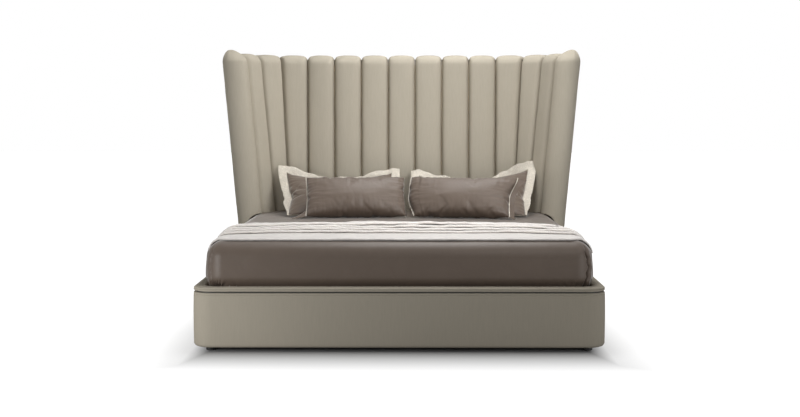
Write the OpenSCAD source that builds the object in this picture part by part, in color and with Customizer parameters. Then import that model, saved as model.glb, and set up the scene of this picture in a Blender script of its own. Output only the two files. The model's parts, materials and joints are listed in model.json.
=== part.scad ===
// Double bed with a winged headboard of vertical padded channels.
// The base is an upholstered box on hidden feet, with a thin rim above a shadow
// gap. The rim frames a mattress that lies on sprung slats. The headboard stands
// behind the box and its wings, which lean outwards, stand on the rim.
// Millimetres, Z up, foot end towards -Y, origin under the middle of the bed.

/* [Mattress] */
// Width of the mattress
mattress_w = 1800; // [1400:10:2000]
// Length of the mattress
mattress_l = 2000; // [1900:10:2200]
// Thickness of the mattress at its edges
mattress_t = 250; // [200:5:320]
// Rise of its top in the middle
mattress_crown = 10; // [2:1:25]
// Swelling of its sides at half height
mattress_bulge = 8; // [2:1:12]
// Radius of its upper edge
mattress_edge_r = 75; // [40:5:90]
// Radius of its upright corners, seen from above
mattress_corner_r = 60; // [50:5:120]
// Depth by which it is let into the rim
mattress_recess = 48; // [30:2:80]
// Room left round it inside the rim
mattress_fit = 8; // [5:1:15]
// Thickness of the fitted sheet
sheet_t = 3; // [2:0.5:5]

/* [Box base] */
// Width of the rim beside the mattress, with its fit
side_ledge = 60; // [45:5:120]
// Width of the rim at the foot of the mattress, with its fit
foot_ledge = 80; // [75:5:150]
// Length of the box behind the mattress
head_ledge = 30; // [26:1:60]
// Height of the upholstered box
box_h = 255; // [220:5:350]
// Thickness of a box panel with its padding
panel_t = 25; // [20:1:35]
// Radius of the two foot corners, seen from above
box_corner_r = 95; // [70:5:140]
// Radius of the lower outside edge
box_bottom_r = 14; // [4:1:20]
// Radius of the upper outside edge
box_top_r = 6; // [2:1:10]
// Height of the shadow gap under the rim
gap_h = 6; // [3:1:15]
// Distance by which the shadow strip is set back
gap_recess = 12; // [6:1:16]
// Thickness of the rim
rim_t = 17; // [12:1:40]
// Radius of the rim's outside edges
rim_edge_r = 6; // [2:1:6]
// Thickness of the base panels
base_panel_t = 3; // [2:1:6]

/* [Feet and legs] */
// Height of the feet under the box
foot_h = 20; // [20:1:80]
// Diameter of a foot
foot_d = 44; // [30:1:60]
// Distance of a foot's centre from the side of the box
foot_inset_x = 80; // [70:5:120]
// Distance of a foot's centre from the end of the box
foot_inset_y = 72; // [60:2:110]
// Number of centre legs
centre_legs_n = 3; // [1:1:5]
// Diameter of a centre leg
centre_leg_d = 38; // [25:1:50]

/* [Slats] */
// Number of slats on each side
slats_n = 14; // [8:1:16]
// Width of a slat
slat_w = 70; // [40:2:80]
// Thickness of a slat
slat_t = 8; // [6:1:12]
// Rise of a slat at its middle
slat_rise = 10; // [2:1:20]
// Distance from the ends of the mattress to the outer slats
slat_end = 34; // [20:2:60]
// Wall of a slat cap
cap_wall = 3.5; // [2:0.5:5]
// Length of slat held in a cap
cap_grip = 30; // [20:1:40]
// Width of the cleats under the slats
cleat_w = 35; // [34:1:60]
// Height of the cleats
cleat_h = 35; // [20:1:60]
// Width of the centre beam
beam_w = 80; // [76:2:100]
// Height of the centre beam
beam_h = 60; // [30:5:80]
// Thickness of the steel hangers
hanger_t = 3; // [2:0.5:4]

/* [Headboard] */
// Number of straight channels between the wings
straight_channels = 7; // [5:2:9]
// Distance from the side of the mattress in to the start of a wing's curve
wing_inset = 319; // [300:5:345]
// Number of channels in the curve of a wing
wing_channels = 3; // [2:1:4]
// Radius of a wing's curve along its seams
wing_r = 340; // [300:5:420]
// Angle through which a wing turns
wing_turn = 80; // [70:1:86]
// Outward lean of a wing
wing_lean = 5; // [0:0.5:6]
// Extra thickness that a wing gains towards its front
wing_swell = 48; // [20:2:60]
// Radius of the end roll
roll_r = 73; // [60:1:80]
// Height of the channels at the seams' shoulder
shoulder_z = 1400; // [1100:10:1600]
// Height of a channel's crown over its seams at the front
channel_crown = 30; // [15:1:40]
// Height of a seam's dip in the top edge
top_dip = 18; // [8:1:24]
// Height of the top padding over the carcass, at a seam
top_pad = 42; // [30:1:60]
// Height of the end rolls above the channels
roll_rise = 20; // [0:2:60]
// Padding behind the seams
pad_t = 18; // [12:1:30]
// Thickness of the plywood panel
hb_panel_t = 18; // [12:1:25]
// Thickness of the stiles and rails
stile_t = 40; // [30:1:60]
// Width of the stiles and rails
stile_w = 60; // [40:5:80]
// Thickness of the back and wing covers
cover_t = 12; // [6:1:16]
// Height of the stiles' ends above the floor
stile_z = 60; // [40:5:120]
// Diameter of the headboard bolts
bolt_d = 10; // [6:1:12]
// Length of a bolt held in its stile
bolt_grip = 30; // [15:1:36]
// Distance from the lower end of a stile up to its lower bolt
bolt_rise = 50; // [30:5:60]
// Distance between the two bolts of a stile
bolt_spacing = 90; // [50:5:100]

/* [Bedding] */
// Distance of the throw's front hem from the foot of the mattress
throw_y = 60; // [50:5:300]
// Length of bed that the folded throw covers
throw_l = 660; // [400:10:900]
// Number of folds in the throw
throw_folds = 4; // [2:1:6]
// Thickness of the throw at its front hem
throw_t = 14; // [8:1:20]
// Height that the second fold adds
throw_rise = 18; // [5:1:25]
// Length by which it hangs over the sides
throw_drop = 70; // [40:5:120]
// Width of mattress left free beside a sham, laid flat
sham_room = 160; // [130:5:240]
// Height of a sham's filled body, laid flat
sham_h = 540; // [400:10:600]
// Thickness of a sham
sham_t = 160; // [80:5:180]
// Width of a sham's flat border
sham_border = 50; // [30:5:60]
// Difference in width between a sham and a lumbar pillow, without their borders
lumbar_less = 100; // [30:5:200]
// Height of a lumbar pillow
lumbar_h = 260; // [200:10:300]
// Thickness of a lumbar pillow
lumbar_t = 150; // [80:5:160]
// Width of the flat end of a lumbar pillow
lumbar_border = 30; // [20:5:60]
// Distance from the middle of the bed to the gap between the pillows
pillows_x = 20; // [0:5:40]
// Distance from the front of the channels to the back edge of the shams
sham_back = 80; // [60:5:150]
// Slope of a sham at its front edge
sham_slope = 8; // [4:1:12]
// Degrees by which a sham's far edge sags between its corners
sham_sag = 16; // [0:1:25]
// Degrees by which a sham's mean slope is over that of its front edge
sham_rise = 17; // [12:1:24]
// Turn of the left sham
sham_turn_left = 3; // [2:1:4]
// Turn of the right sham
sham_turn_right = 3; // [1:1:4]
// Slope of a lumbar pillow at its front edge
lumbar_slope = 44; // [30:1:55]
// Distance from a sham's front edge forward to a lumbar pillow's
lumbar_gap = 70; // [30:5:300]
// Turn of the left lumbar pillow
lumbar_turn_left = 4; // [0:1:8]
// Turn of the right lumbar pillow
lumbar_turn_right = 9; // [4:1:12]

/* [Hidden] */

// Gap left between soft bodies, and between loose pieces and their seats
clear = 0.3;

// Box, from the floor up
base_w = mattress_w + 2 * side_ledge;
base_l = foot_ledge + mattress_l + head_ledge;
box_top = foot_h + box_h;
rim_z = box_top + gap_h;
rim_top = rim_z + rim_t;
inner_half = base_w / 2 - panel_t;
head_inner = base_l - panel_t;
mattress_z = rim_top - mattress_recess;
mattress_top = mattress_z + mattress_t;
opening_half = mattress_w / 2 + mattress_fit;

// Slat platform, from the underside of the mattress down
slat_end_z = mattress_z - clear - slat_rise - slat_t;
cap_z = slat_end_z - cap_wall - clear;
cap_h = slat_t + 2 * cap_wall + 2 * clear;
cap_l = cap_grip + cap_wall + clear;
cap_w = slat_w + 2 * cap_wall + 2 * clear;
slat_x0 = cap_wall + clear;
slat_x1 = inner_half - 2 * clear - cap_wall;
slat_pitch = (mattress_l - 2 * slat_end - slat_w) / (slats_n - 1);
hanger_l = 40;
beam_y0 = panel_t + hanger_t + clear;
beam_y1 = head_inner - hanger_t - clear;
beam_z = cap_z - beam_h;

// Headboard, from the seam line backwards
seam_y = foot_ledge + mattress_l + 2 + channel_crown;
panel_n = pad_t + clear;
stile_n = panel_n + hb_panel_t;
cover_n = stile_n + stile_t;
back_n = cover_n + cover_t;
bed_l = seam_y + back_n;
straight_half = mattress_w / 2 - wing_inset;
channel_w = 2 * straight_half / straight_channels;
wing_arc = wing_r * wing_turn * PI / 180;
wing_channel_w = wing_arc / wing_channels;
channel_z = rim_top + clear;
core_top = shoulder_z;
joint_x = straight_half + 16;
roll_n = 62;
roll_out = 48;
space_half = mattress_w / 2 + mattress_bulge + sheet_t + 4;
space_top = mattress_top + 10;

// Pillows: their filled widths, and the front edge of the shams
sham_w = mattress_w / 2 - sham_room - 2 * sham_border;
lumbar_w = sham_w - lumbar_less;
sham_reach = (sham_h + 2 * sham_border) * cos(sham_slope + sham_rise);
sham_y = seam_y - channel_crown - sham_back - sham_reach;

fabric = [0.66, 0.63, 0.58];
timber = [0.80, 0.66, 0.46];
birch = [0.88, 0.78, 0.60];
steel = [0.70, 0.71, 0.73];
black = [0.08, 0.08, 0.08];
satin = [0.44, 0.40, 0.36];
cream = [0.86, 0.83, 0.78];

// Small helpers

function limit(v, low, high) = max(low, min(high, v));
function arc(cx, cy, r, a0, a1, n) =
    [for (i = [0:n]) let (a = a0 + (a1 - a0) * i / n) [cx + r * cos(a), cy + r * sin(a)]];

// Moves children from the foot end at y = 0 to the middle of the bed
module bed_frame() {
    translate([0, -bed_l / 2, 0]) children();
}

// Repeats children on both sides of the middle
module both_sides() {
    children();
    mirror([1, 0, 0]) children();
}

// Closed solid through rings of points. The rings have the same even number of points,
// which run anticlockwise when the next rings come towards the viewer. The two end faces
// are strips between the first half of the ring and the second, which faces it, or else
// they fan out from the point with the number that fan gives.
module loft(rings, fan = -1) {
    n = len(rings[0]);
    last = (len(rings) - 1) * n;
    points = [for (ring = rings) for (p = ring) p];
    sides = [for (i = [0:n:last - n]) for (j = [0:n - 1])
        let (a = i + j, b = i + (j + 1) % n)
        for (face = [[a, a + n, b + n], [a, b + n, b]]) face];
    strip = [for (j = [0:n / 2 - 2]) let (a = j + 1, b = n - 2 - j)
        for (face = [[j, a, b], [j, b, b + 1]]) face];
    start = fan < 0 ? strip : [for (j = [1:n - 2]) [fan, (fan + j) % n, (fan + j + 1) % n]];
    end = [for (face = start) [for (i = [2:-1:0]) last + face[i]]];
    polyhedron(points, concat(sides, start, end), convexity = 6);
}

// Upholstered box and rim

// Section of a board with two rounded outside edges. Its outer face is at x = 0.
module board_section(wall, height, bottom_r, top_r) {
    polygon(concat(
        [[-wall, 0]],
        arc(-bottom_r, bottom_r, bottom_r, -90, 0, 4),
        arc(-top_r, height - top_r, top_r, 0, 90, 4),
        [[-wall, height]]));
}

// Sweeps a section across the foot end and round both foot corners
module round_foot(inset, z) {
    r = box_corner_r - inset;
    run = base_w / 2 - box_corner_r;
    translate([-run, inset, z]) rotate([90, 0, 90])
        linear_extrude(2 * run) mirror([1, 0]) children();
    translate([-run, box_corner_r, z]) rotate([0, 0, 180])
        rotate_extrude(angle = 90, $fn = 96) translate([r, 0]) children();
    translate([run, box_corner_r, z]) rotate([0, 0, 270])
        rotate_extrude(angle = 90, $fn = 96) translate([r, 0]) children();
}

// Runs a section along the right side, from the foot corner to the head end
module side_run(inset, z) {
    translate([base_w / 2 - inset, base_l, z]) rotate([90, 0, 0])
        linear_extrude(base_l - box_corner_r) children();
}

// Plan of everything inside the box outline by the given inset
module inner_plan(inset) {
    r = box_corner_r - inset;
    half = base_w / 2 - inset;
    translate([-half, box_corner_r]) square([2 * half, base_l - box_corner_r - inset]);
    translate([-half + r, inset]) square([2 * (half - r), box_corner_r]);
    for (side = [-1, 1]) translate([side * (half - r), box_corner_r]) circle(r, $fn = 96);
}

// Plan of the mattress opening in the rim
module opening_plan() {
    r = mattress_corner_r + mattress_fit;
    y0 = foot_ledge - mattress_fit;
    translate([-opening_half + r, y0]) square([2 * (opening_half - r), r * 2]);
    translate([-opening_half, y0 + r]) square([2 * opening_half, base_l]);
    for (side = [-1, 1]) translate([side * (opening_half - r), y0 + r]) circle(r, $fn = 96);
}

module foot_rail() {
    color(fabric) bed_frame()
        round_foot(0, foot_h) board_section(panel_t, box_h, box_bottom_r, box_top_r);
}

module side_rail() {
    color(fabric) bed_frame()
        side_run(0, foot_h) board_section(panel_t, box_h, box_bottom_r, box_top_r);
}

module head_rail() {
    color(fabric) bed_frame() difference() {
        translate([-inner_half, head_inner, foot_h]) cube([2 * inner_half, panel_t, box_h]);
        headboard_bores();
    }
}

// Three-cornered blocks glued into the corners of the box, bored for the feet
module corner_blocks() {
    leg = 150;
    block_z = foot_h + base_panel_t;
    block_h = cap_z - cleat_h - block_z;
    color(timber) bed_frame() both_sides() difference() {
        translate([0, 0, block_z]) linear_extrude(block_h) intersection() {
            inner_plan(panel_t);
            union() {
                polygon([[inner_half - leg, 0], [inner_half + leg, 0], [inner_half, panel_t + leg]]);
                translate([inner_half, head_inner])
                    polygon([[0, 0], [-leg, 0], [0, -leg]]);
            }
        }
        foot_bores(block_z - 1, 31);
    }
}

module foot_bores(z, depth) {
    for (y = [foot_inset_y, base_l - foot_inset_y])
        translate([base_w / 2 - foot_inset_x, y, z]) cylinder(d = 10.4, h = depth, $fn = 32);
}

// Half of the underside, with holes for the feet and room for the centre legs
module base_panel() {
    x0 = centre_leg_d / 2 + 12;
    color([0.25, 0.24, 0.23]) bed_frame() difference() {
        translate([0, 0, foot_h]) linear_extrude(base_panel_t) intersection() {
            inner_plan(panel_t + clear);
            translate([x0, 0]) square([base_w, base_l]);
        }
        foot_bores(foot_h - 1, base_panel_t + 2);
    }
}

// Plastic foot with its screw, turned in one piece
module foot() {
    stem_d = 10;
    stem_h = 26;
    rotate_extrude($fn = 64) polygon([
        [0, 0], [foot_d / 2 - 2, 0], [foot_d / 2, 2], [foot_d / 2, foot_h - 8],
        [foot_d / 2 - 4, foot_h], [stem_d / 2, foot_h], [stem_d / 2, foot_h + stem_h], [0, foot_h + stem_h]]);
}

module foot_pair(y) {
    color(black) bed_frame() both_sides()
        translate([base_w / 2 - foot_inset_x, y, 0]) foot();
}

// Dark strips that hold the rim above the box
module shadow_strip_foot() {
    color(black) bed_frame()
        round_foot(gap_recess, box_top) translate([gap_recess - panel_t, 0])
            square([panel_t - gap_recess, gap_h]);
}

module shadow_strips() {
    color(black) bed_frame() {
        both_sides() side_run(gap_recess, box_top) translate([gap_recess - panel_t, 0])
            square([panel_t - gap_recess, gap_h]);
        translate([-inner_half, head_inner, box_top])
            cube([2 * inner_half, panel_t - gap_recess, gap_h]);
    }
}

// Battens inside the box that carry the inner edge of the rim
module rim_bearers() {
    depth = 40;
    side_w = 18;
    side_h = rim_z - cap_z - cap_h - 2;
    color(timber) bed_frame() {
        translate([box_corner_r - base_w / 2, panel_t, rim_z - depth])
            cube([base_w - 2 * box_corner_r, foot_ledge - mattress_fit - panel_t - 7, depth]);
        both_sides() translate([inner_half - side_w, box_corner_r + 20, rim_z - side_h])
            cube([side_w, head_inner - box_corner_r - 20, side_h]);
    }
}

// Foot part of the rim: a rounded edge band in one with the board inside it
module rim_foot() {
    band = 20;
    color(fabric) bed_frame() {
        round_foot(0, rim_z) board_section(band, rim_t, rim_edge_r, rim_edge_r);
        translate([0, 0, rim_z]) linear_extrude(rim_t) difference() {
            intersection() {
                inner_plan(band - 1);
                translate([-base_w / 2, 0]) square([base_w, box_corner_r]);
            }
            opening_plan();
        }
    }
}

module rim_side() {
    color(fabric) bed_frame()
        side_run(0, rim_z) board_section(side_ledge - mattress_fit, rim_t, rim_edge_r, rim_edge_r);
}

module rim_head() {
    color(fabric) bed_frame()
        translate([-opening_half, base_l - head_ledge + mattress_fit, rim_z])
            cube([2 * opening_half, head_ledge - mattress_fit, rim_t]);
}

// Slat platform

// Cleats along the side rails
module slat_cleats() {
    color(timber) bed_frame() both_sides()
        translate([inner_half - cleat_w, box_corner_r, cap_z - cleat_h])
            cube([cleat_w, head_inner - box_corner_r, cleat_h]);
}

module centre_beam() {
    color(timber) bed_frame()
        translate([-beam_w / 2, beam_y0, beam_z]) cube([beam_w, beam_y1 - beam_y0, beam_h]);
}

// Steel saddle for one end of the beam, open at the top and towards the beam
module hanger() {
    w = beam_w + 2 * clear;
    translate([0, 0, beam_z - hanger_t]) difference() {
        translate([-w / 2 - hanger_t, 0, 0]) cube([w + 2 * hanger_t, hanger_l, beam_h]);
        translate([-w / 2, hanger_t, hanger_t]) cube([w, hanger_l, beam_h]);
    }
}

module beam_hangers() {
    color(steel) bed_frame() {
        translate([0, panel_t, 0]) hanger();
        translate([0, head_inner, 0]) mirror([0, 1, 0]) hanger();
    }
}

// Legs under the beam: a steel tube with a flange above and a plastic pad below
module centre_legs() {
    pad_h = 12;
    flange_h = 4;
    r = centre_leg_d / 2;
    color(steel) bed_frame() for (i = [1:centre_legs_n])
        translate([0, base_l * i / (centre_legs_n + 1), 0]) rotate_extrude($fn = 48)
            polygon([[0, 0], [r + 4, 0], [r + 4, pad_h - 3], [r, pad_h], [r, beam_z - flange_h],
                [beam_w / 2 - 4, beam_z - flange_h], [beam_w / 2 - 4, beam_z], [0, beam_z]]);
}

// Height of a slat's underside along its length
function slat_arch(t) = slat_end_z + slat_rise * 4 * t * (1 - t);

module slats() {
    n = 8;
    span = slat_x1 - slat_x0;
    under = [for (i = [0:n]) [slat_x0 + span * i / n, slat_arch(i / n)]];
    over = [for (i = [n:-1:0]) under[i] + [0, slat_t]];
    color(birch) bed_frame() for (i = [0:slats_n - 1])
        translate([0, foot_ledge + slat_end + i * slat_pitch + slat_w, 0]) rotate([90, 0, 0])
            linear_extrude(slat_w) polygon(concat(under, over));
}

// Plastic cap with a pocket that is open towards -x. Its closed end is at x = 0.
module slat_cap() {
    slot = slat_t + 2 * clear + slat_rise * 4 * cap_grip / (slat_x1 - slat_x0);
    difference() {
        translate([-cap_l, 0, 0]) cube([cap_l, cap_w, cap_h + slot - slat_t - 2 * clear]);
        translate([-cap_l - 1, cap_wall, cap_wall]) cube([cap_l - cap_wall + 1, cap_w - 2 * cap_wall, slot]);
    }
}

module cap_row(x) {
    for (i = [0:slats_n - 1])
        translate([x, foot_ledge + slat_end + i * slat_pitch - cap_wall - clear, cap_z])
            slat_cap();
}

module slat_caps_outer() {
    color(black) bed_frame() both_sides() cap_row(inner_half - clear);
}

module slat_caps_centre() {
    color(black) bed_frame() both_sides() mirror([1, 0, 0]) cap_row(0);
}

// Headboard. A place on it is given by s, the distance along the seam line from the
// middle, by n, the distance behind that line, and by the height z.

function back_line(s) = back_n + wing_swell * pow(sin(wing_angle(s)), 2);
function wing_angle(s) = max(0, abs(s) - straight_half) / wing_r * 180 / PI;

// Share of the lean that a place takes. The padded face leans as soon as the wing
// turns. The back starts to lean later, so that the rear corner stays upright.
function lean_share(s, n) =
    let (a = wing_angle(s) / wing_turn)
    let (face = limit(1.5 * a, 0, 1), back = limit((a - 0.62) / 0.38, 0, 1))
    face + (back - face) * limit(n / back_line(s), 0, 1);

function lean_x(s, n, z) = sign(s) * tan(wing_lean) * (z - shoulder_z) * lean_share(s, n);

function hb_point(s, n, z) =
    let (a = wing_angle(s), r = wing_r + n)
    abs(s) <= straight_half
        ? [s, seam_y + n, z]
        : [sign(s) * (straight_half + r * sin(a)) + lean_x(s, n, z),
            seam_y - wing_r + r * cos(a), z];

// Seam k from the middle outwards, where k is a half number
function seam_s(k) = sign(k) * (min(abs(k), straight_channels / 2) * channel_w
    + max(0, abs(k) - straight_channels / 2) * wing_channel_w);

// Shape of a channel across its width, from 0 at the seams to 1 along the crown
function puff(u) = pow(max(0, 1 - pow(abs(u), 2.2)), 0.7);

// Path of a channel's face up the front, over the top and down to the back cover.
// Each stop gives the seam's n and z, the crown's extra n and z, and the inside's n and z.
function pad_path(back, rises) =
    let (inside = back - cover_t, crown = channel_crown, rear_r = 40)
    concat(
        [[6, channel_z, -0.6 * crown, 0, pad_t, channel_z]],
        [for (i = [0:rises]) let (z = channel_z + 30 + (shoulder_z - channel_z - 30) * i / rises)
            [0, z, -crown, 0, pad_t, z]],
        [for (a = [35, 65, 90])
            [30 * (1 - cos(a)), shoulder_z + top_pad * sin(a), -crown * cos(a), top_dip * sin(a),
                pad_t + clear * a / 90, shoulder_z + 1 + a / 90]],
        [for (a = [90, 55, 20])
            [back - rear_r + rear_r * cos(a), shoulder_z + 12 + (top_pad - 12) * sin(a),
                0, top_dip * sin(a), inside + 1 - (a - 20) / 20, shoulder_z + 1 + a / 90]],
        [[back, shoulder_z - 10, 0, 0, inside + 1, shoulder_z - 10]]);

// One channel between two seams, with its upright stretch in a number of rises
module channel_pad(s0, s1, rises) {
    across = [for (i = [-4:4]) sin(i * 22.5)];
    middle = (s0 + s1) / 2;
    half = (s1 - s0) / 2 - clear;
    stops = len(pad_path(back_n, rises));
    rings = [for (k = [0:stops - 1]) concat(
        [for (u = across)
            let (s = middle + u * half, stop = pad_path(back_line(s), rises)[k])
            hb_point(s, stop[0] + puff(u) * stop[2], stop[1] + puff(u) * stop[3])],
        [for (u = [1, 0, -1])
            let (s = middle + u * half, stop = pad_path(back_line(s), rises)[k])
            hb_point(s, stop[4], stop[5])])];
    color(fabric) bed_frame() loft(rings, fan = len(across) + 1);
}

// Channel i from the left. The left half mirrors the right half. Wing channels keep
// their full shape above the mattress and lie flat against it below.
module channel(i) {
    k = i - (straight_channels + 2 * wing_channels + 1) / 2;
    mirror([k < 0 ? 1 : 0, 0, 0])
        if (abs(k) < straight_channels / 2)
            channel_pad(seam_s(abs(k) - 0.5), seam_s(abs(k) + 0.5), 1);
        else
            difference() {
                channel_pad(seam_s(abs(k) - 0.5), seam_s(abs(k) + 0.5), 4);
                mattress_space();
            }
}

// Room that the mattress and its sheet take up between the wings
module mattress_space() {
    r = mattress_corner_r;
    y1 = foot_ledge + mattress_l + 2;
    bed_frame() linear_extrude(space_top) {
        translate([-space_half, 0]) square([2 * space_half, y1 - r]);
        translate([r - space_half, 0]) square([2 * (space_half - r), y1]);
        for (side = [-1, 1]) translate([side * (space_half - r), y1 - r]) circle(r, $fn = 48);
    }
}

// Place on the end roll: n as above, and out, the distance beyond the end of the curve
function roll_point(n, out, z) =
    let (r = wing_r + n, a = wing_turn)
    [straight_half + r * sin(a) + out * cos(a) + tan(wing_lean) * (z - shoulder_z),
        seam_y - wing_r + r * cos(a) - out * sin(a), z];

// Ring of the end roll: an arc open towards the wing, drawn in by the given share and
// shifted outwards
function roll_ring(z, share, shift = 0) =
    let (open = asin((roll_out - clear) / roll_r), n = 15)
    [for (i = [0:n]) let (a = 180 + open - (180 + 2 * open) * i / n)
        roll_point(roll_n + shift + share * roll_r * cos(a),
            clear + share * (roll_out - clear + roll_r * sin(a)), z)];

// Roll that closes a wing. Its top is drawn up to a point near its outer side.
module end_roll_right() {
    dome = roll_r + 2;
    top = shoulder_z + top_pad + top_dip + roll_rise;
    rings = concat(
        [roll_ring(channel_z, 0.93), roll_ring(channel_z + 25, 1)],
        [for (t = [0, 0.35, 0.6, 0.8, 0.93, 1]) roll_ring(top - dome + dome * t,
            1 - 0.95 * pow(t, 1.7), 0.34 * roll_r * t * t)]);
    color(fabric) difference() {
        bed_frame() loft(rings);
        mattress_space();
    }
}

// Solid carcass of a wing between its padding and its cover
module wing_core_right() {
    steps = 2 * wing_channels;
    stations = concat([stile_x()[3] + stile_w / 2 + 3 * clear],
        [for (i = [1:steps]) straight_half + i * wing_arc / steps]);
    n = len(stations) - 1;
    rings = [for (z = [channel_z, core_top]) concat(
        [for (s = stations) hb_point(s, pad_t + clear, z)],
        [for (i = [n:-1:0]) hb_point(stations[i], back_line(stations[i]) - cover_t - clear, z)])];
    color(timber) difference() {
        bed_frame() loft(rings);
        mattress_space();
    }
}

// Upholstered shell round the outside of a wing
module wing_cover_right() {
    steps = 4 * wing_channels;
    stations = concat([joint_x + clear],
        [for (i = [1:steps]) straight_half + i * wing_arc / steps]);
    n = len(stations) - 1;
    rings = [for (z = [channel_z, shoulder_z - 10 - clear]) concat(
        [for (s = stations) hb_point(s, back_line(s) - cover_t, z)],
        [for (i = [n:-1:0]) hb_point(stations[i], back_line(stations[i]), z)])];
    color(fabric) bed_frame() loft(rings);
}

module headboard_panel() {
    color(birch) bed_frame() translate([-straight_half, seam_y + panel_n, channel_z])
        cube([2 * straight_half, hb_panel_t, core_top - channel_z]);
}

// Middles of the four stiles
function stile_x() = let (x = straight_half - stile_w / 2 + 10) [-x, -x / 3, x / 3, x];

module headboard_stiles() {
    color(timber) bed_frame() difference() {
        for (x = stile_x()) translate([x - stile_w / 2, seam_y + stile_n, stile_z])
            cube([stile_w, stile_t, core_top - stile_z]);
        headboard_bores();
    }
}

// Rails between the stiles at three heights
module headboard_rails() {
    xs = stile_x();
    color(timber) bed_frame() for (i = [0:2])
        for (z = [rim_top, (rim_top + core_top - stile_w) / 2, core_top - stile_w])
            translate([xs[i] + stile_w / 2, seam_y + stile_n, z])
                cube([xs[i + 1] - xs[i] - stile_w, stile_t, stile_w]);
}

// Blocks that fill the space between the box and the outer stiles
module headboard_packers() {
    xs = stile_x();
    color(timber) bed_frame() difference() {
        for (x = [xs[0], xs[3]]) translate([x - stile_w / 2, base_l, stile_z])
            cube([stile_w, seam_y + stile_n - base_l, rim_top - stile_z]);
        headboard_bores();
    }
}

module bolt_places() {
    xs = stile_x();
    for (x = [xs[0], xs[3]]) for (z = [0, bolt_spacing])
        translate([x, head_inner, stile_z + bolt_rise + z]) rotate([-90, 0, 0]) children();
}

module headboard_bores() {
    bolt_places() translate([0, 0, -1])
        cylinder(d = bolt_d + 0.6, h = 1 + panel_t + seam_y + stile_n - base_l + bolt_grip + 1, $fn = 48);
}

// Bolts put in from inside the box, with their washers
module headboard_bolts() {
    washer_t = bolt_d / 5;
    head_t = bolt_d * 0.65;
    shank = panel_t + seam_y + stile_n - base_l + bolt_grip;
    color(steel) bed_frame() bolt_places() {
        cylinder(d = bolt_d, h = shank, $fn = 48);
        translate([0, 0, -washer_t]) cylinder(d = bolt_d * 2.4, h = washer_t, $fn = 48);
        translate([0, 0, -washer_t - head_t]) cylinder(d = bolt_d * 1.8, h = head_t, $fn = 6);
    }
}

module headboard_back() {
    color(fabric) bed_frame() translate([-joint_x, seam_y + cover_n, stile_z])
        cube([2 * joint_x, cover_t, shoulder_z - 10 - clear - stile_z]);
}

// Mattress and sheet

// Rounded rectangle in plan, grown by e beyond the mattress except at the head
function bed_ring(e, z) =
    let (r = max(8, mattress_corner_r + e), hx = mattress_w / 2 + e - r)
    let (y0 = foot_ledge - e + r, y1 = foot_ledge + mattress_l + min(e, clear) - r)
    [for (c = [[hx, y0, -90], [hx, y1, 0], [-hx, y1, 90], [-hx, y0, 180]])
        for (i = [0:3]) let (a = c[2] + 30 * i) [c[0] + r * cos(a), c[1] + r * sin(a), z]];

// Height of the mattress top at a distance in from its edge
function crown_z(inside) = mattress_top + mattress_crown * sin(90 * limit((inside - mattress_edge_r) / 500, 0, 1));

// Rings of the mattress, or of a layer over it, from its lower edge to its middle
function bed_rings(over, z0) =
    let (bulge = mattress_bulge, edge = mattress_edge_r, t = mattress_t, z = mattress_z)
    concat(
        [bed_ring(over - (z0 < z + 20 ? 4 : 0), z0)],
        [bed_ring(over, max(z0 + 2, z + 0.18 * t)), bed_ring(over + bulge, z + 0.5 * t),
            bed_ring(over + 0.8 * bulge, mattress_top - edge - 5)],
        [for (a = [30, 58]) bed_ring(over + 0.5 * bulge - edge * (1 - cos(a)), mattress_top - edge * (1 - sin(a)) + over)],
        [for (e = [edge, 150, 320, 550]) bed_ring(-e, crown_z(e) + over)]);

module mattress() {
    color("white") bed_frame() loft(bed_rings(0, mattress_z + clear));
}

// Fitted sheet: a skin over the mattress, tucked into the rim
module fitted_sheet() {
    color(satin) bed_frame() difference() {
        loft(bed_rings(sheet_t + clear, mattress_z + 25));
        loft(bed_rings(clear, mattress_z + 1));
    }
}

// Throw

// Thickness of the throw: folds that lie on each other like shingles
function throw_thick(v) =
    let (k = min(throw_folds - 1, floor(v * throw_folds)), t = v * throw_folds - k)
    let (level = throw_rise * sin(90 * limit(k / 1.5, 0, 1)) * (1 - 0.3 * v))
    throw_t + level + 5 * (1 - t) - (v > 0.999 ? throw_t + 8 : 0);

// Shares of the throw's depth where its section has points: each fold's foot and lip
function throw_steps() = concat(
    [for (k = [0:throw_folds - 1]) for (t = [0, 0.1, 0.55, 0.92]) (k + t) / throw_folds], [1]);

// Stops across the bed: place on the sheet, its slope, and the share of full thickness
function throw_stops() =
    let (half = mattress_w / 2 + sheet_t + mattress_bulge + 2, edge = mattress_edge_r)
    concat(
        [[half, mattress_top - throw_drop - 20, 90, 0.35], [half, mattress_top - edge, 90, 0.5],
            [half - 0.18 * edge, mattress_top - 0.36 * edge, 55, 0.6],
            [half - 0.6 * edge, mattress_top, 25, 0.75]],
        [for (x = [0.9, 0.75, 0.55, 0.3, 0.1]) [half * x, 0, 0, 1]]);

function throw_ring(stop, side) =
    let (wave = 14 * sin(stop[0] * 0.55 * side) + 8 * sin(stop[0] * 1.3 * side + 40))
    let (y0 = foot_ledge + throw_y, flat = stop[2] == 0)
    concat(
        [for (v = throw_steps())
            let (y = y0 + limit(v * throw_l + wave * sin(180 * v), 0, throw_l))
            let (in = min(mattress_w / 2 - stop[0], y - foot_ledge))
            [side * stop[0], y, flat ? crown_z(in) + sheet_t + 6 * clear : stop[1] + sheet_t + 2 * clear]],
        [for (i = [len(throw_steps()) - 1:-1:0])
            let (v = throw_steps()[i], y = y0 + limit(v * throw_l + wave * sin(180 * v), 0, throw_l))
            let (in = min(mattress_w / 2 - stop[0], y - foot_ledge), t = stop[3] * throw_thick(v))
            [side * (stop[0] + t * sin(stop[2])), y,
                (flat ? crown_z(in) + sheet_t + 6 * clear : stop[1] + sheet_t + 2 * clear) + t * cos(stop[2])]]);

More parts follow.
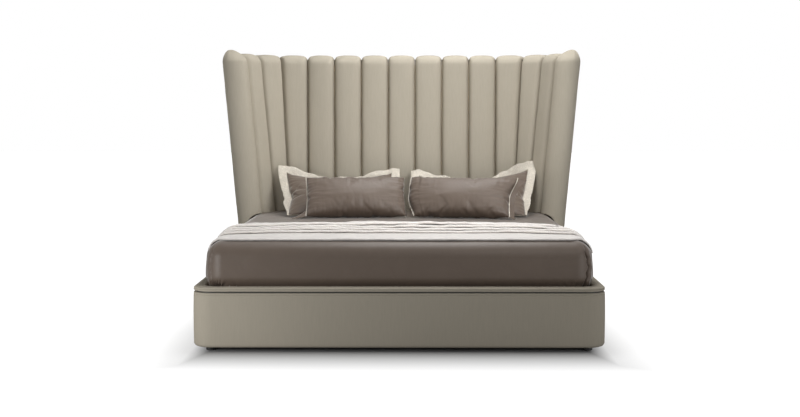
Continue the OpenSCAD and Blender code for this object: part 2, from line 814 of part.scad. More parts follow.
module throw() {
    stops = throw_stops();
    n = len(stops) - 1;
    color(cream) bed_frame() loft(concat(
        [for (i = [0:n]) throw_ring(stops[i], -1)],
        [for (i = [n:-1:0]) throw_ring(stops[i], 1)]));
}

// Pillows. In side view a pillow follows a line that starts at its front edge and
// bends upwards evenly. A place gives the start's y, how far the pillow settles, the
// two end slopes and the degrees by which the far one is less in the pillow's middle.

// Point and slope at a distance along the line
function rest_line(d, total, place) =
    let (turn = (place[3] - place[2]) * d / total, a = place[2] + turn / 2)
    [place[0] + d * cos(a), place[1] + d * sin(a), place[2] + turn];

// Fullness of a pillow, from 0 at its seam to 1 in its middle
function plump(u, v) = pow(max(0, 1 - pow(abs(u), 2.4)), 0.55) * pow(max(0, 1 - v * v), 0.5);

// Stations from edge to edge over a filled part and its flat border
function stations(half, edge) = concat(
    edge > 0 ? [-half - edge] : [],
    [for (i = [-4:4]) half * sin(i * 22.5)],
    edge > 0 ? [half + edge] : []);

// Section of a pillow at x. Its form is [width, height, side border, top border,
// thickness under the line, thickness over it].
function pillow_ring(x, form, place) =
    let (hw = form[0] / 2, hh = form[1] / 2, us = x / hw)
    let (draw = 1 - 0.05 * (1 - limit(us * us, 0, 1)), total = form[1] + 2 * form[3])
    let (sag = place[4] * (1 - limit(us * us, 0, 1)))
    let (line_place = [place[0], place[1], place[2], place[3] - sag])
    let (rows = [for (y = stations(hh, form[3]))
        let (v = limit(y / hh, -1, 1), line = rest_line(total / 2 + y * draw, total, line_place))
        let (wave = y > -hh && (abs(us) > 1 || y > hh) ? 3 * sin(x * 1.1 + y) : 0)
        [x * (1 - 0.035 * (1 - v * v)), line[0], line[1] + wave, line[2], plump(limit(us, -1, 1), v)]])
    concat(
        [for (r = rows) let (t = 1.6 + form[4] * r[4])
            [r[0], r[1] + t * sin(r[3]), r[2] - t * cos(r[3])]],
        [for (i = [len(rows) - 1:-1:0]) let (r = rows[i], t = 1.6 + form[5] * r[4])
            [r[0], r[1] - t * sin(r[3]), r[2] + t * cos(r[3])]]);

// Height at which a pillow's lowest point lies just above the sheet
function rest_z(form, place) = mattress_top + mattress_crown + sheet_t + 3 * clear
    - min([for (x = stations(form[0] / 2, form[2])) for (p = pillow_ring(x, form, place)) p[2]]);

// Pillow beside the middle of the pillows, turned so that its outer end comes forward
module pillow(side, turn, form, place) {
    level = [0, 0, place[2], place[3], place[4]];
    seated = level + [0, rest_z(form, level) - place[1], 0, 0, 0];
    bed_frame() translate([pillows_x, place[0], 0]) mirror([side < 0 ? 1 : 0, 0, 0])
        rotate([0, 0, -turn]) translate([form[0] / 2 + form[2] + clear, 0, 0])
            loft([for (x = stations(form[0] / 2, form[2])) pillow_ring(x, form, seated)]);
}

// Shams lean back on the channels
module sham(side, turn) {
    form = [sham_w, sham_h, sham_border, sham_border, 0.3 * sham_t, 0.7 * sham_t];
    color(cream) pillow(side, turn, form, [sham_y, 2 * clear, sham_slope, sham_slope + 2 * sham_rise, sham_sag]);
}

// Lumbar pillows lean on the shams
module lumbar(side, turn) {
    form = [lumbar_w, lumbar_h, lumbar_border, 0, 0.45 * lumbar_t, 0.55 * lumbar_t];
    color(satin) pillow(side, turn, form, [sham_y - lumbar_gap, 0, lumbar_slope, lumbar_slope + 22, 0]);
}

foot_rail();
mirror([1, 0, 0]) side_rail();  // side_rail_left
side_rail();  // side_rail_right
head_rail();
corner_blocks();
mirror([1, 0, 0]) base_panel();  // base_panel_left
base_panel();  // base_panel_right
foot_pair(foot_inset_y);  // feet_front
foot_pair(base_l - foot_inset_y);  // feet_rear
shadow_strip_foot();
shadow_strips();
rim_bearers();
rim_foot();
mirror([1, 0, 0]) rim_side();  // rim_left
rim_side();  // rim_right
rim_head();
slat_cleats();
centre_beam();
beam_hangers();
centre_legs();
mirror([1, 0, 0]) slats();  // slats_left
slats();  // slats_right
slat_caps_outer();
slat_caps_centre();
headboard_panel();
headboard_stiles();
headboard_rails();
headboard_packers();
headboard_bolts();
headboard_back();
mirror([1, 0, 0]) wing_core_right();  // wing_core_left
wing_core_right();
mirror([1, 0, 0]) wing_cover_right();  // wing_cover_left
wing_cover_right();
channel(1);  // channel_01
channel(2);  // channel_02
channel(3);  // channel_03
channel(4);  // channel_04
channel(5);  // channel_05
channel(6);  // channel_06
channel(7);  // channel_07
channel(8);  // channel_08
channel(9);  // channel_09
channel(10);  // channel_10
channel(11);  // channel_11
channel(12);  // channel_12
channel(13);  // channel_13
mirror([1, 0, 0]) end_roll_right();  // end_roll_left
end_roll_right();
mattress();
fitted_sheet();
throw();
sham(-1, sham_turn_left);  // sham_left
sham(1, sham_turn_right);  // sham_right
lumbar(-1, lumbar_turn_left);  // lumbar_left
lumbar(1, lumbar_turn_right);  // lumbar_right
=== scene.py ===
"""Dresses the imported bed: upholstery, bedding, finishes, camera and light.

Metres, Z up, foot end towards -Y. The sizes below are those of the solids, so each
cover lies on the carcass that carries it.
"""

import json
import math

import bpy
import numpy as np
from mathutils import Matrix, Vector, noise
from mathutils.bvhtree import BVHTree

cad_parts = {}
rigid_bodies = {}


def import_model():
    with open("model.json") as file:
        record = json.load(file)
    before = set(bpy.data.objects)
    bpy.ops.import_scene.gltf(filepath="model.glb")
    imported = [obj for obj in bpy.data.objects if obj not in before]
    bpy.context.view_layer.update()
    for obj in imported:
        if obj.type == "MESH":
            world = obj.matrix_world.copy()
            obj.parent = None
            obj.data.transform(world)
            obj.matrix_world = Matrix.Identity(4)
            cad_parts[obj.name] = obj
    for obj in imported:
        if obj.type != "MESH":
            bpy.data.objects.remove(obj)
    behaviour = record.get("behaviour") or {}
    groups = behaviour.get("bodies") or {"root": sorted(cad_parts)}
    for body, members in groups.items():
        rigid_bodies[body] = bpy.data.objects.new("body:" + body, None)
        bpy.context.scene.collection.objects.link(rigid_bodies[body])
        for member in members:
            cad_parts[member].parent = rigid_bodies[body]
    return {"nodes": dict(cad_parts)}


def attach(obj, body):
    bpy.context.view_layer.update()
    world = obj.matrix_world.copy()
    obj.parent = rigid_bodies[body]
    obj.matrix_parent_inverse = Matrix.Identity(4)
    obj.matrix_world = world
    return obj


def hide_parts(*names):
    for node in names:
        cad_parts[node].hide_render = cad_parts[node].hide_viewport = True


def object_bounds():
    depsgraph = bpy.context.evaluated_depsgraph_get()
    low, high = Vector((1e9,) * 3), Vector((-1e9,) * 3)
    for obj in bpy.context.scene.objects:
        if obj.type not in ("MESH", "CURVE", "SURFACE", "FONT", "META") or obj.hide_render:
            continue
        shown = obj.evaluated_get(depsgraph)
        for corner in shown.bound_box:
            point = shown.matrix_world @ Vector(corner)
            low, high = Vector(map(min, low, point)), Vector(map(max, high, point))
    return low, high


bl_info = {
    "name": "Channelled winged bed",
    "version": (1, 0, 0),
    "blender": (4, 5, 0),
    "location": "View3D > Sidebar > Bed",
    "description": "Upholstery, bedding and finishes for a bed with a channelled headboard",
    "category": "Object",
}

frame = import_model()
CAD_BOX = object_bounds()
NODES = frame["nodes"]
FOOT_Y = CAD_BOX[0].y


# Values that the panel shows. The sizes are shared with the solids.

def amount(name, default, note, **options):
    return bpy.props.FloatProperty(name=name, default=default, description=note, **options)


def length(name, default, note):
    return amount(name, default, note, unit="LENGTH", precision=4)


def degrees(name, default, note):
    return amount(name, math.radians(default), note, subtype="ANGLE")


def colour(name, default, note):
    return bpy.props.FloatVectorProperty(name=name, default=default, description=note, size=3,
                                         min=0, max=1, subtype="COLOR_GAMMA")


class BedSizes(bpy.types.PropertyGroup):
    """Sizes of the carcass and mattress that the covers follow"""

    mattress_w: length("Mattress width", 1.8, "Width of the mattress")
    mattress_l: length("Mattress length", 2.0, "Length of the mattress")
    mattress_t: length("Mattress thickness", 0.25, "Thickness of the mattress at its edges")
    crown: length("Mattress crown", 0.010, "Rise of its top in the middle")
    bulge: length("Mattress bulge", 0.008, "Swelling of its sides")
    corner_r: length("Mattress corner", 0.060, "Radius of its upright corners")
    edge_r: length("Mattress edge", 0.075, "Radius of its upper edge")
    side_ledge: length("Side ledge", 0.060, "Rim beside the mattress")
    foot_ledge: length("Foot ledge", 0.080, "Rim at the foot of the mattress")
    head_ledge: length("Head ledge", 0.030, "Box behind the mattress")
    foot_h: length("Foot height", 0.020, "Height of the feet")
    box_h: length("Box height", 0.255, "Height of the upholstered box")
    box_r: length("Box corner", 0.095, "Radius of the two foot corners")
    gap_h: length("Shadow gap", 0.006, "Height of the gap under the rim")
    rim_t: length("Rim thickness", 0.017, "Thickness of the rim")
    recess: length("Recess", 0.048, "Depth to which the mattress is let in")
    fit: length("Fit", 0.008, "Room left round the mattress")
    seam_y: length("Seam line", 2.112, "Distance of the headboard's seam line from the foot")
    straight_half: length("Straight half", 0.581, "Half the length of the straight seam line")
    wing_r: length("Wing radius", 0.340, "Radius of a wing's curve")
    shoulder_z: length("Shoulder", 1.400, "Height of the seams' shoulder")
    top_pad: length("Top padding", 0.042, "Padding over the carcass")
    top_dip: length("Top dip", 0.018, "Dip of a seam in the top edge")
    channel_crown: length("Channel crown", 0.030, "Height of a crown over its seams")
    back_n: length("Back", 0.0883, "Depth of the headboard behind the seam line")
    swell: length("Swell", 0.048, "Extra depth of a wing towards its front")
    wing_turn: degrees("Wing turn", 80, "Angle of a wing's curve")
    wing_lean: degrees("Wing lean", 5, "Outward lean of a wing")


class BedLooks(bpy.types.PropertyGroup):
    """Colours of the cloths"""

    upholstery: colour("Upholstery", (0.70, 0.67, 0.61), "Woven cloth of box and headboard")
    satin: colour("Satin", (0.405, 0.355, 0.315), "Fitted sheet and lumbar pillows")
    throw: colour("Throw", (0.94, 0.92, 0.90), "Cloth folded over the foot end")
    border: colour("Border", (0.83, 0.80, 0.745), "Crinkled cloth round the shams")
    piping: colour("Piping", (0.86, 0.83, 0.78), "Thin piping of the lumbar pillows")
    slub: amount("Slub", 0.03, "Strength of the upright slub in the upholstery", min=0, max=1)


class BedView(bpy.types.PropertyGroup):
    """Camera and light"""

    camera: bpy.props.FloatVectorProperty(name="Camera", default=(0.045, -7.0, 1.098), size=3,
                                          subtype="XYZ", unit="LENGTH",
                                          description="Place of the camera")
    dip: degrees("Dip", 4.18, "Angle of the camera below the horizon")
    turn: degrees("Turn", 0.39, "Turn of the camera to the left")
    lens: amount("Lens", 58.14, "Focal length, mm")
    key: amount("Key", 58.0, "Power of the lamp overhead, W")
    front: amount("Front", 9.0, "Power of the front lamp, W")
    side: amount("Side", 3.7, "Power of the left lamp, W")
    right: amount("Right", 1.3, "Power of the right lamp, W")
    edges: amount("Edges", 1.0, "Power of the two lamps beside the headboard, W")
    fill: amount("Fill", 0.18, "Strength of the room light")


def sizes():
    return bpy.context.scene.bed_sizes


def rim_top():
    """Height of the rim, on which the headboard's padding stands."""
    b = sizes()
    return b.foot_h + b.box_h + b.gap_h + b.rim_t


def box_plan():
    """Half the width of the box, and its length."""
    b = sizes()
    return b.mattress_w / 2 + b.side_ledge, b.foot_ledge + b.mattress_l + b.head_ledge


# Mesh helpers

def clear_selection():
    if bpy.context.object and bpy.context.object.mode != "OBJECT":
        bpy.ops.object.mode_set(mode="OBJECT")
    bpy.ops.object.select_all(action="DESELECT")


def pick(piece):
    clear_selection()
    piece.select_set(True)
    bpy.context.view_layer.objects.active = piece


def read(piece, what):
    values = np.empty(len(piece.data.vertices) * 3)
    piece.data.vertices.foreach_get(what, values)
    return values.reshape(-1, 3)


def points(piece):
    return read(piece, "co")


def set_points(piece, co):
    piece.data.vertices.foreach_set("co", np.ascontiguousarray(co, dtype=np.float32).ravel())
    piece.data.update()


def edit(piece, *steps):
    """Runs edit mode operators on the whole piece."""
    pick(piece)
    bpy.ops.object.mode_set(mode="EDIT")
    bpy.ops.mesh.select_all(action="SELECT")
    for step, options in steps:
        step(**options)
    bpy.ops.object.mode_set(mode="OBJECT")
    return piece


def modify(piece, kind, **values):
    """Adds a modifier and applies it."""
    pick(piece)
    modifier = piece.modifiers.new(kind.lower(), kind)
    for key, value in values.items():
        setattr(modifier, key, value)
    bpy.ops.object.modifier_apply(modifier=modifier.name)


def smooth(piece, angle):
    pick(piece)
    bpy.ops.object.shade_smooth_by_angle(angle=math.radians(angle))


def cell(u, v, columns, rows):
    """Number of the column and of the row for points of a grid."""
    return np.rint(u * columns).astype(int), np.rint(v * rows).astype(int)


def woven(name, columns, rows, place):
    """A grid whose points are placed by their column and row, each from 0 to 1."""
    clear_selection()
    bpy.ops.mesh.primitive_grid_add(x_subdivisions=columns, y_subdivisions=rows, size=2)
    piece = bpy.context.object
    piece.name = piece.data.name = name
    co = points(piece)
    set_points(piece, place((co[:, 0] + 1) / 2, (co[:, 1] + 1) / 2))
    return piece


def close_up(piece, holes=False):
    """Joins the points that meet, fills the ends and turns the faces outwards."""
    steps = [(bpy.ops.mesh.remove_doubles, {"threshold": 2e-5})]
    if holes:
        steps += [(bpy.ops.mesh.select_all, {"action": "DESELECT"}),
                  (bpy.ops.mesh.select_non_manifold, {}),
                  (bpy.ops.mesh.fill_holes, {"sides": 0}),
                  (bpy.ops.mesh.select_all, {"action": "SELECT"})]
    steps.append((bpy.ops.mesh.normals_make_consistent, {"inside": False}))
    return edit(piece, *steps)


def face_away(piece, centre):
    """Turns an open surface so that most of it faces away from a point."""
    out = ((points(piece) - np.array(centre)) * read(piece, "normal")).sum(1).mean()
    if out < 0:
        edit(piece, (bpy.ops.mesh.flip_normals, {}))


def ripple(co, scale, seed):
    """Smooth noise from -1 to 1 at points, given as rows or as a tuple of three axes. The scale
    is the waves' length on each axis."""
    if isinstance(co, tuple):
        co = np.stack(np.broadcast_arrays(*co), 1)
    shift = Vector((seed * 7.31, seed * 3.17, seed * 1.93))
    inverse = 1 / np.array(scale, dtype=float)
    return np.array([noise.fractal(Vector(p) + shift, 0.6, 2.0, 2) for p in co * inverse])


def ramp(x, low, high):
    t = np.clip((x - low) / (high - low), 0, 1)
    return t * t * (3 - 2 * t)


def surface(piece):
    """Search tree of a piece's faces."""
    return BVHTree.FromPolygons([v.co for v in piece.data.vertices],
                                [p.vertices for p in piece.data.polygons])


def below(tree, x, y, start):
    """Height of a surface straight below a place, or None."""
    hit = tree.ray_cast(Vector((x, y, start)), Vector((0, 0, -1)))[0]
    return hit.z if hit else None


def paint(piece, material):
    piece.data.materials.clear()
    piece.data.materials.append(bpy.data.materials[material])


def declare(piece, stands_for):
    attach(piece, "root")
    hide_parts(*stands_for)


def finish_piece(piece, angle, material, stands_for):
    smooth(piece, angle)
    paint(piece, material)
    declare(piece, stands_for)


def upholstered(piece, angle, stands_for):
    finish_piece(piece, angle, "Upholstery", stands_for)


# Headboard geometry. A place is given by s, along the seam line from the middle, by n,
# behind that line, and by the height z.

def wing_angle(s):
    b = sizes()
    return np.maximum(0, np.abs(s) - b.straight_half) / b.wing_r


def back_line(s):
    b = sizes()
    return b.back_n + b.swell * np.sin(wing_angle(s)) ** 2


def lean_x(s, n, z):
    b = sizes()
    a = wing_angle(s) / b.wing_turn
    face = np.clip(1.5 * a, 0, 1)
    back = np.clip((a - 0.62) / 0.38, 0, 1)
    share = face + (back - face) * np.clip(n / back_line(s), 0, 1)
    return np.sign(s) * math.tan(b.wing_lean) * (z - b.shoulder_z) * share


def headboard_point(s, n, z):
    b = sizes()
    a, r, turned = wing_angle(s), b.wing_r + n, np.abs(s) > b.straight_half
    x = np.where(turned, np.sign(s) * (b.straight_half + r * np.sin(a)) + lean_x(s, n, z), s)
    y = np.where(turned, b.seam_y - b.wing_r + r * np.cos(a), b.seam_y + n)
    return np.stack([x, y + FOOT_Y, z], 1)


def roll_point(n, out, z):
    b = sizes()
    a, r = b.wing_turn, b.wing_r + n
    lean = math.tan(b.wing_lean) * (z - b.shoulder_z)
    x = b.straight_half + r * math.sin(a) + out * math.cos(a) + lean
    y = b.seam_y - b.wing_r + r * math.cos(a) - out * math.sin(a)
    return np.stack([x, y + FOOT_Y, z], 1)


# Room for the sheet beside, behind and over the mattress
BESIDE, AT_HEAD, OVER = 0.007, 0.002, 0.005


def clear_of_mattress(co, gap):
    """Moves points that lie in the mattress's space sideways to its rounded edge."""
    b = sizes()
    top = mattress_z() + b.mattress_t + OVER
    rise = np.clip((co[:, 2] - top + b.edge_r) / b.edge_r, 0, 1)
    inset = b.edge_r * (1 - np.sqrt(np.maximum(0, 1 - rise * rise)))
    half = b.mattress_w / 2 + b.bulge + BESIDE - inset
    rear = FOOT_Y + b.foot_ledge + b.mattress_l + AT_HEAD - inset
    r = b.corner_r
    q = np.stack([np.abs(co[:, 0]) - (half - r), co[:, 1] - (rear - r)], 1)
    outside = np.maximum(q, 0)
    far = np.hypot(outside[:, 0], outside[:, 1])
    depth = far + np.minimum(q.max(1), 0) - r
    sideways = q[:, 0] > q[:, 1]
    way = np.where((far > 1e-9)[:, None], outside / np.maximum(far, 1e-9)[:, None],
                   np.stack([sideways, ~sideways], 1).astype(float))
    push = np.where((co[:, 2] < top) & (depth < gap), gap - depth, 0)
    moved = co.copy()
    moved[:, 0] += np.sign(co[:, 0]) * way[:, 0] * push
    moved[:, 1] += way[:, 1] * push
    return moved


# Materials

def linear(shade):
    return *(c / 12.92 if c <= 0.04045 else ((c + 0.055) / 1.055) ** 2.4 for c in shade), 1.0


class Tree:
    """Short calls for building a node tree."""

    def __init__(self, tree):
        self.tree = tree

    def node(self, kind, inputs=None, **values):
        node = self.tree.nodes.new(kind)
        for key, value in values.items():
            setattr(node, key, value)
        for key, value in (inputs or {}).items():
            socket = node.inputs[key]
            if isinstance(value, bpy.types.NodeSocket):
                self.tree.links.new(value, socket)
            else:
                socket.default_value = value
        return node

    def mix(self, a, b, factor):
        return self.node("ShaderNodeMix", {0: factor, 6: a, 7: b}, data_type="RGBA").outputs[2]

    def math(self, operation, a, b=0.5, c=0.5):
        return self.node("ShaderNodeMath", {0: a, 1: b, 2: c}, operation=operation).outputs[0]

    def span(self, value, low, high, to_low, to_high):
        return self.node("ShaderNodeMapRange", {0: value, 1: low, 2: high, 3: to_low,
                                                4: to_high}).outputs[0]

    def noise(self, place, scale, detail=2.0, **more):
        return self.node("ShaderNodeTexNoise", {"Vector": place, "Scale": scale,
                                                "Detail": detail, **more}).outputs["Fac"]

    def scaled(self, place, stretch):
        return self.node("ShaderNodeVectorMath", {0: place, 1: stretch},
                         operation="MULTIPLY").outputs[0]

    def tone(self, value, shade):
        return self.node("ShaderNodeHueSaturation", {"Value": value, "Color": shade}).outputs[0]

    def seen(self):
        """1 for rays from the camera, a mirror or glass, otherwise 0."""
        rays = self.node("ShaderNodeLightPath").outputs
        return self.math("MAXIMUM", rays["Is Camera Ray"],
                         self.math("MAXIMUM", rays["Is Glossy Ray"], rays["Is Transmission Ray"]))


def group(name, build, inputs):
    """A shader node group that gives a colour and a height. Inputs have a kind and a default."""
    tree = bpy.data.node_groups.new(name, "ShaderNodeTree")
    for label, (kind, default) in inputs.items():
        socket = tree.interface.new_socket(label, in_out="INPUT", socket_type="NodeSocket" + kind)
        if default is not None:
            socket.default_value = default
    for label, kind in (("Colour", "Color"), ("Height", "Float")):
        tree.interface.new_socket(label, in_out="OUTPUT", socket_type="NodeSocket" + kind)
    t = Tree(tree)
    source = t.node("NodeGroupInput")
    sink = t.node("NodeGroupOutput")
    for label, socket in build(t, source.outputs).items():
        tree.links.new(socket, sink.inputs[label])


def build_slub(t, given):
    """Streaks along one axis with a fine weave across them."""
    streaks = t.noise(t.scaled(given["Place"], given["Stretch"]), 1.0, 3.0, Roughness=0.6)
    broad = t.noise(given["Place"], 2.3)
    threads = t.noise(given["Place"], given["Threads"], 1.0)
    shade = t.span(streaks, 0.32, 0.68, -1.0, 1.0)
    drift = t.span(broad, 0.3, 0.7, -0.35, 0.35)
    change = t.math("MULTIPLY", t.math("ADD", shade, drift), given["Strength"])
    height = t.math("ADD", t.math("MULTIPLY", threads, 0.6), t.math("MULTIPLY", streaks, 0.4))
    return {"Colour": t.tone(t.math("ADD", change, 1.0), given["Colour"]), "Height": height}


def build_crease_and_painted_shade(t, given):
    """Soft creases in thin cloth: a bump, and painted shade darkening the colour along them."""
    bent = t.noise(given["Place"], given["Scale"], 3.0, Distortion=0.8)
    folds = t.math("ABSOLUTE", t.math("SUBTRACT", bent, 0.5), 0.0)
    # Painted shade: along the crease lines the colour darkens to the given share
    shade = t.span(folds, 0.0, 0.2, given["Painted crease shade"], 1.0)
    return {"Colour": t.tone(shade, given["Colour"]), "Height": t.math("MULTIPLY", folds, 2.0)}


def build_grain(t, given):
    """Wood grain along the axis with the smallest stretch."""
    rings = t.noise(t.scaled(given["Place"], given["Stretch"]), 1.0, 5.0, Distortion=0.6)
    share = t.span(rings, 0.35, 0.65, 0.0, 1.0)
    return {"Colour": t.mix(given["Light"], given["Dark"], share), "Height": rings}


def make_groups():
    place, tint = ("Vector", None), ("Color", None)
    group("Slub weave", build_slub, {
        "Place": place, "Stretch": ("Vector", (420, 420, 14)), "Threads": ("Float", 900.0),
        "Strength": ("Float", 0.1), "Colour": tint})
    group("Cloth crease with painted shade", build_crease_and_painted_shade, {
        "Place": place, "Scale": ("Float", 9.0), "Painted crease shade": ("Float", 0.9), "Colour": tint})
    group("Wood grain", build_grain, {
        "Place": place, "Stretch": ("Vector", (4, 90, 90)), "Light": tint, "Dark": tint})


def new_material(name):
    material = bpy.data.materials.new(name)
    material.use_nodes = True
    t = Tree(material.node_tree)
    shader = material.node_tree.nodes["Principled BSDF"]
    place = t.node("ShaderNodeTexCoord").outputs["Object"]
    return t, shader, place


def dress(t, shader, shade, height, depth, plain):
    """Gives a shader its colour, a bump of some depth and its plain values."""
    bump = t.node("ShaderNodeBump", {"Strength": 1.0, "Distance": depth, "Height": height})
    t.tree.links.new(shade, shader.inputs["Base Color"])
    t.tree.links.new(bump.outputs[0], shader.inputs["Normal"])
    for key, value in plain.items():
        socket = {"specular": "Specular IOR Level"}.get(key, key.replace("_", " ").title())
        shader.inputs[socket].default_value = value


def patterned(name, pattern, depth, inputs, plain):
    """A material whose colour and height come from a node group."""
    t, shader, place = new_material(name)
    out = t.node("ShaderNodeGroup", {"Place": place, **inputs},
                 node_tree=bpy.data.node_groups[pattern]).outputs
    dress(t, shader, out["Colour"], out["Height"], depth, plain)


def slub_cloth(name, shade, strength, stretch, **plain):
    patterned(name, "Slub weave", 0.0004,
              {"Colour": linear(shade), "Strength": strength, "Stretch": stretch}, plain)


# Creased cloth; low is the share of its colour left by the painted shade along the creases
def creased_cloth(name, shade, scale, low, depth, **plain):
    patterned(name, "Cloth crease with painted shade", depth,
              {"Colour": linear(shade), "Scale": scale, "Painted crease shade": low}, plain)


def wood(name, shades, stretch, **plain):
    light, dark = map(linear, shades)
    patterned(name, "Wood grain", 0.0006, {"Light": light, "Dark": dark, "Stretch": stretch}, plain)


def speckled(name, shade, spread, scale, depth, **plain):
    """Plain stuff with slight unevenness, such as moulded plastic or plated steel."""
    t, shader, place = new_material(name)
    spots = t.noise(place, scale, 3.0)
    dark = linear([c * (1 - spread) for c in shade])
    dress(t, shader, t.mix(dark, linear(shade), spots), spots, depth, plain)


# Light and dark grain
TIMBER = ((0.84, 0.71, 0.51), (0.72, 0.57, 0.37))
BIRCH = ((0.91, 0.83, 0.67), (0.82, 0.71, 0.53))

# Pieces of the carcass by material
CARCASS = {
    "Timber along": "corner_blocks headboard_rails",
    "Timber across": "rim_bearers slat_cleats centre_beam",
    "Timber up": "headboard_stiles headboard_packers wing_core_left wing_core_right",
    "Birch along": "slats_left slats_right",
    "Birch up": "headboard_panel",
    "Steel": "beam_hangers centre_legs headboard_bolts",
    # The shadow strips' black is partly their colour, partly painted shade for the gap under the
    # rim
    "Black plastic": "feet_front feet_rear slat_caps_outer slat_caps_centre shadow_strip_foot"
                     " shadow_strips",
    "Lining": "base_panel_left base_panel_right"}


class BED_OT_finishes(bpy.types.Operator):
    """Makes the materials and puts them on the carcass"""
    bl_idname = "bed.finishes"
    bl_label = "Finishes"

    def execute(self, context):
        look = context.scene.bed_looks
        make_groups()
        slub_cloth("Upholstery", look.upholstery, look.slub, (260, 260, 16), roughness=0.9,
                   specular=0.15)
        creased_cloth("Satin", look.satin, 7.0, 0.94, 0.0015, roughness=0.46, specular=0.35,
                      sheen_weight=0.5, sheen_roughness=0.32)
        creased_cloth("Throw", look.throw, 8.0, 0.95, 0.002, roughness=0.62, sheen_weight=0.2,
                      sheen_roughness=0.5)
        creased_cloth("Border", look.border, 60.0, 0.80, 0.002, roughness=0.55, sheen_weight=0.2,
                      sheen_roughness=0.4)
        speckled("Piping", look.piping, 0.1, 500.0, 0.0002, roughness=0.6)
        slub_cloth("Ticking", (0.92, 0.91, 0.88), 0.05, (60, 60, 60), roughness=0.9)
        slub_cloth("Lining", (0.22, 0.215, 0.21), 0.1, (200, 200, 200), roughness=0.9)
        wood("Timber along", TIMBER, (4, 70, 70), roughness=0.65)
        wood("Timber across", TIMBER, (70, 4, 70), roughness=0.65)
        wood("Timber up", TIMBER, (70, 70, 4), roughness=0.65)
        wood("Birch along", BIRCH, (3, 60, 60), roughness=0.5)
        wood("Birch up", BIRCH, (60, 60, 3), roughness=0.5)
        speckled("Steel", (0.72, 0.73, 0.75), 0.15, 120.0, 0.0001, metallic=1.0, roughness=0.38)
        # Its warm tint follows the shaded gap under the rim, where it is painted shade on the
        # shadow strips
        speckled("Black plastic", (0.075, 0.068, 0.058), 0.3, 700.0, 0.0001, roughness=0.5)
        for material, names in CARCASS.items():
            for name in names.split():
                paint(NODES[name], material)
        return {"FINISHED"}


# Stage. The floor's painted glow starts at the shadow, whose half width and half length these are.

WHITE = (1, 1, 1, 1)
SHADOW_X, SHADOW_Y = 0.88, 1.08


class BED_OT_stage(bpy.types.Operator):
    """Sets up the camera, floor, background and lamps"""
    bl_idname = "bed.stage"
    bl_label = "Stage"

    def execute(self, context):
        view = context.scene.bed_view
        context.scene.view_settings.view_transform = "Standard"
        clear_selection()
        bpy.ops.object.camera_add(location=view.camera,
                                  rotation=(math.pi / 2 - view.dip, 0, view.turn))
        camera = bpy.context.object
        camera.data.lens = view.lens
        camera.data.sensor_width = 36
        camera.data.clip_end = 200
        context.scene.camera = camera
        self.floor()
        self.world(context.scene, view.fill)
        self.lamp("key", (0.25, 0.15, 3.1), (0.1, 0.2, 0.5), 2.4, 1.2, 180, view.key)
        self.lamp("front", (1.3, -1.9, 1.95), (-0.16, 1.0, 0.9), 1.6, 1.0, 75, view.front)
        self.lamp("side", (-1.9, -2.4, 0.5), (-0.9, -1.1, 0.2), 0.7, 0.5, 80, view.side)
        self.lamp("right", (2.1, -2.4, 0.5), (0.95, -1.1, 0.2), 0.7, 0.5, 80, view.right)
        for side, word, share in ((-1, "left", 1), (1, "right", 0.3)):
            self.lamp(f"edge {word}", (3.2 * side, -0.6, 1.3), (side, 0.95, 1.15), 0.6, 1.0, 36,
                      share * view.edges)
        return {"FINISHED"}

    def lamp(self, name, place, target, wide, high, spread, power):
        bpy.ops.object.light_add(type="AREA", location=place)
        lamp = bpy.context.object
        lamp.name = name
        lamp.data.shape = "RECTANGLE"
        lamp.data.size, lamp.data.size_y, lamp.data.energy = wide, high, power
        lamp.data.spread = math.radians(spread)
        way = Vector(target) - Vector(place)
        lamp.rotation_euler = way.to_track_quat("-Z", "Y").to_euler()

    def floor(self):
        clear_selection()
        bpy.ops.mesh.primitive_grid_add(x_subdivisions=8, y_subdivisions=8, size=60)
        piece = bpy.context.object
        piece.name = "floor"
        t, shader, place = new_material("Floor")
        links = t.tree.links
        shade = t.mix(linear((0.60, 0.60, 0.60)), linear((0.62, 0.62, 0.62)), t.noise(place, 3.0))
        links.new(shade, shader.inputs["Base Color"])
        shader.inputs["Roughness"].default_value = 0.9
        # Painted light: a glow seen by camera and mirrors, none by the bed, brighter away from it
        parts = t.node("ShaderNodeSeparateXYZ", {0: place}).outputs
        aside = t.math("SUBTRACT", t.math("ABSOLUTE", parts[0], 0.0), SHADOW_X)
        aside = t.math("MINIMUM", t.math("MULTIPLY", aside, 3.75),
                       t.math("MULTIPLY_ADD", aside, 0.75, 0.27))
        ahead = t.math("SUBTRACT", t.math("ABSOLUTE", parts[1], 0.0), SHADOW_Y)
        strength = t.span(t.math("MAXIMUM", aside, ahead), 0.0, 0.56, 0.0, 0.97)
        painted_glow = t.node("ShaderNodeEmission", {"Color": WHITE, "Strength": strength}).outputs[0]
        both = t.node("ShaderNodeAddShader", {0: shader.outputs[0], 1: painted_glow}).outputs[0]
        final = t.node("ShaderNodeMixShader", {0: t.seen(), 1: shader.outputs[0], 2: both})
        links.new(final.outputs[0], t.tree.nodes["Material Output"].inputs["Surface"])
        paint(piece, "Floor")

    def world(self, scene, strength):
        scene.world = bpy.data.worlds.new("Room")
        scene.world.use_nodes = True
        t = Tree(scene.world.node_tree)
        t.tree.nodes.clear()
        room, plain = (t.node("ShaderNodeBackground", {"Color": WHITE, "Strength": s}).outputs[0]
                       for s in (strength, 1.0))
        both = t.node("ShaderNodeMixShader", {0: t.seen(), 1: room, 2: plain}).outputs[0]
        t.node("ShaderNodeOutputWorld", {"Surface": both})


# Headboard covers. A channel's grid has columns across its front and behind it.

ACROSS, BEHIND = 26, 4
LEDGE = 0.212  # height over the rim at which the padding meets the mattress's upper edge
PAD = 0.018  # depth of the padding behind the seam line
PAD_GAP = 0.0006  # gap between the padding and the rim
SEAM_GAP = 0.0007  # half the gap between two channels
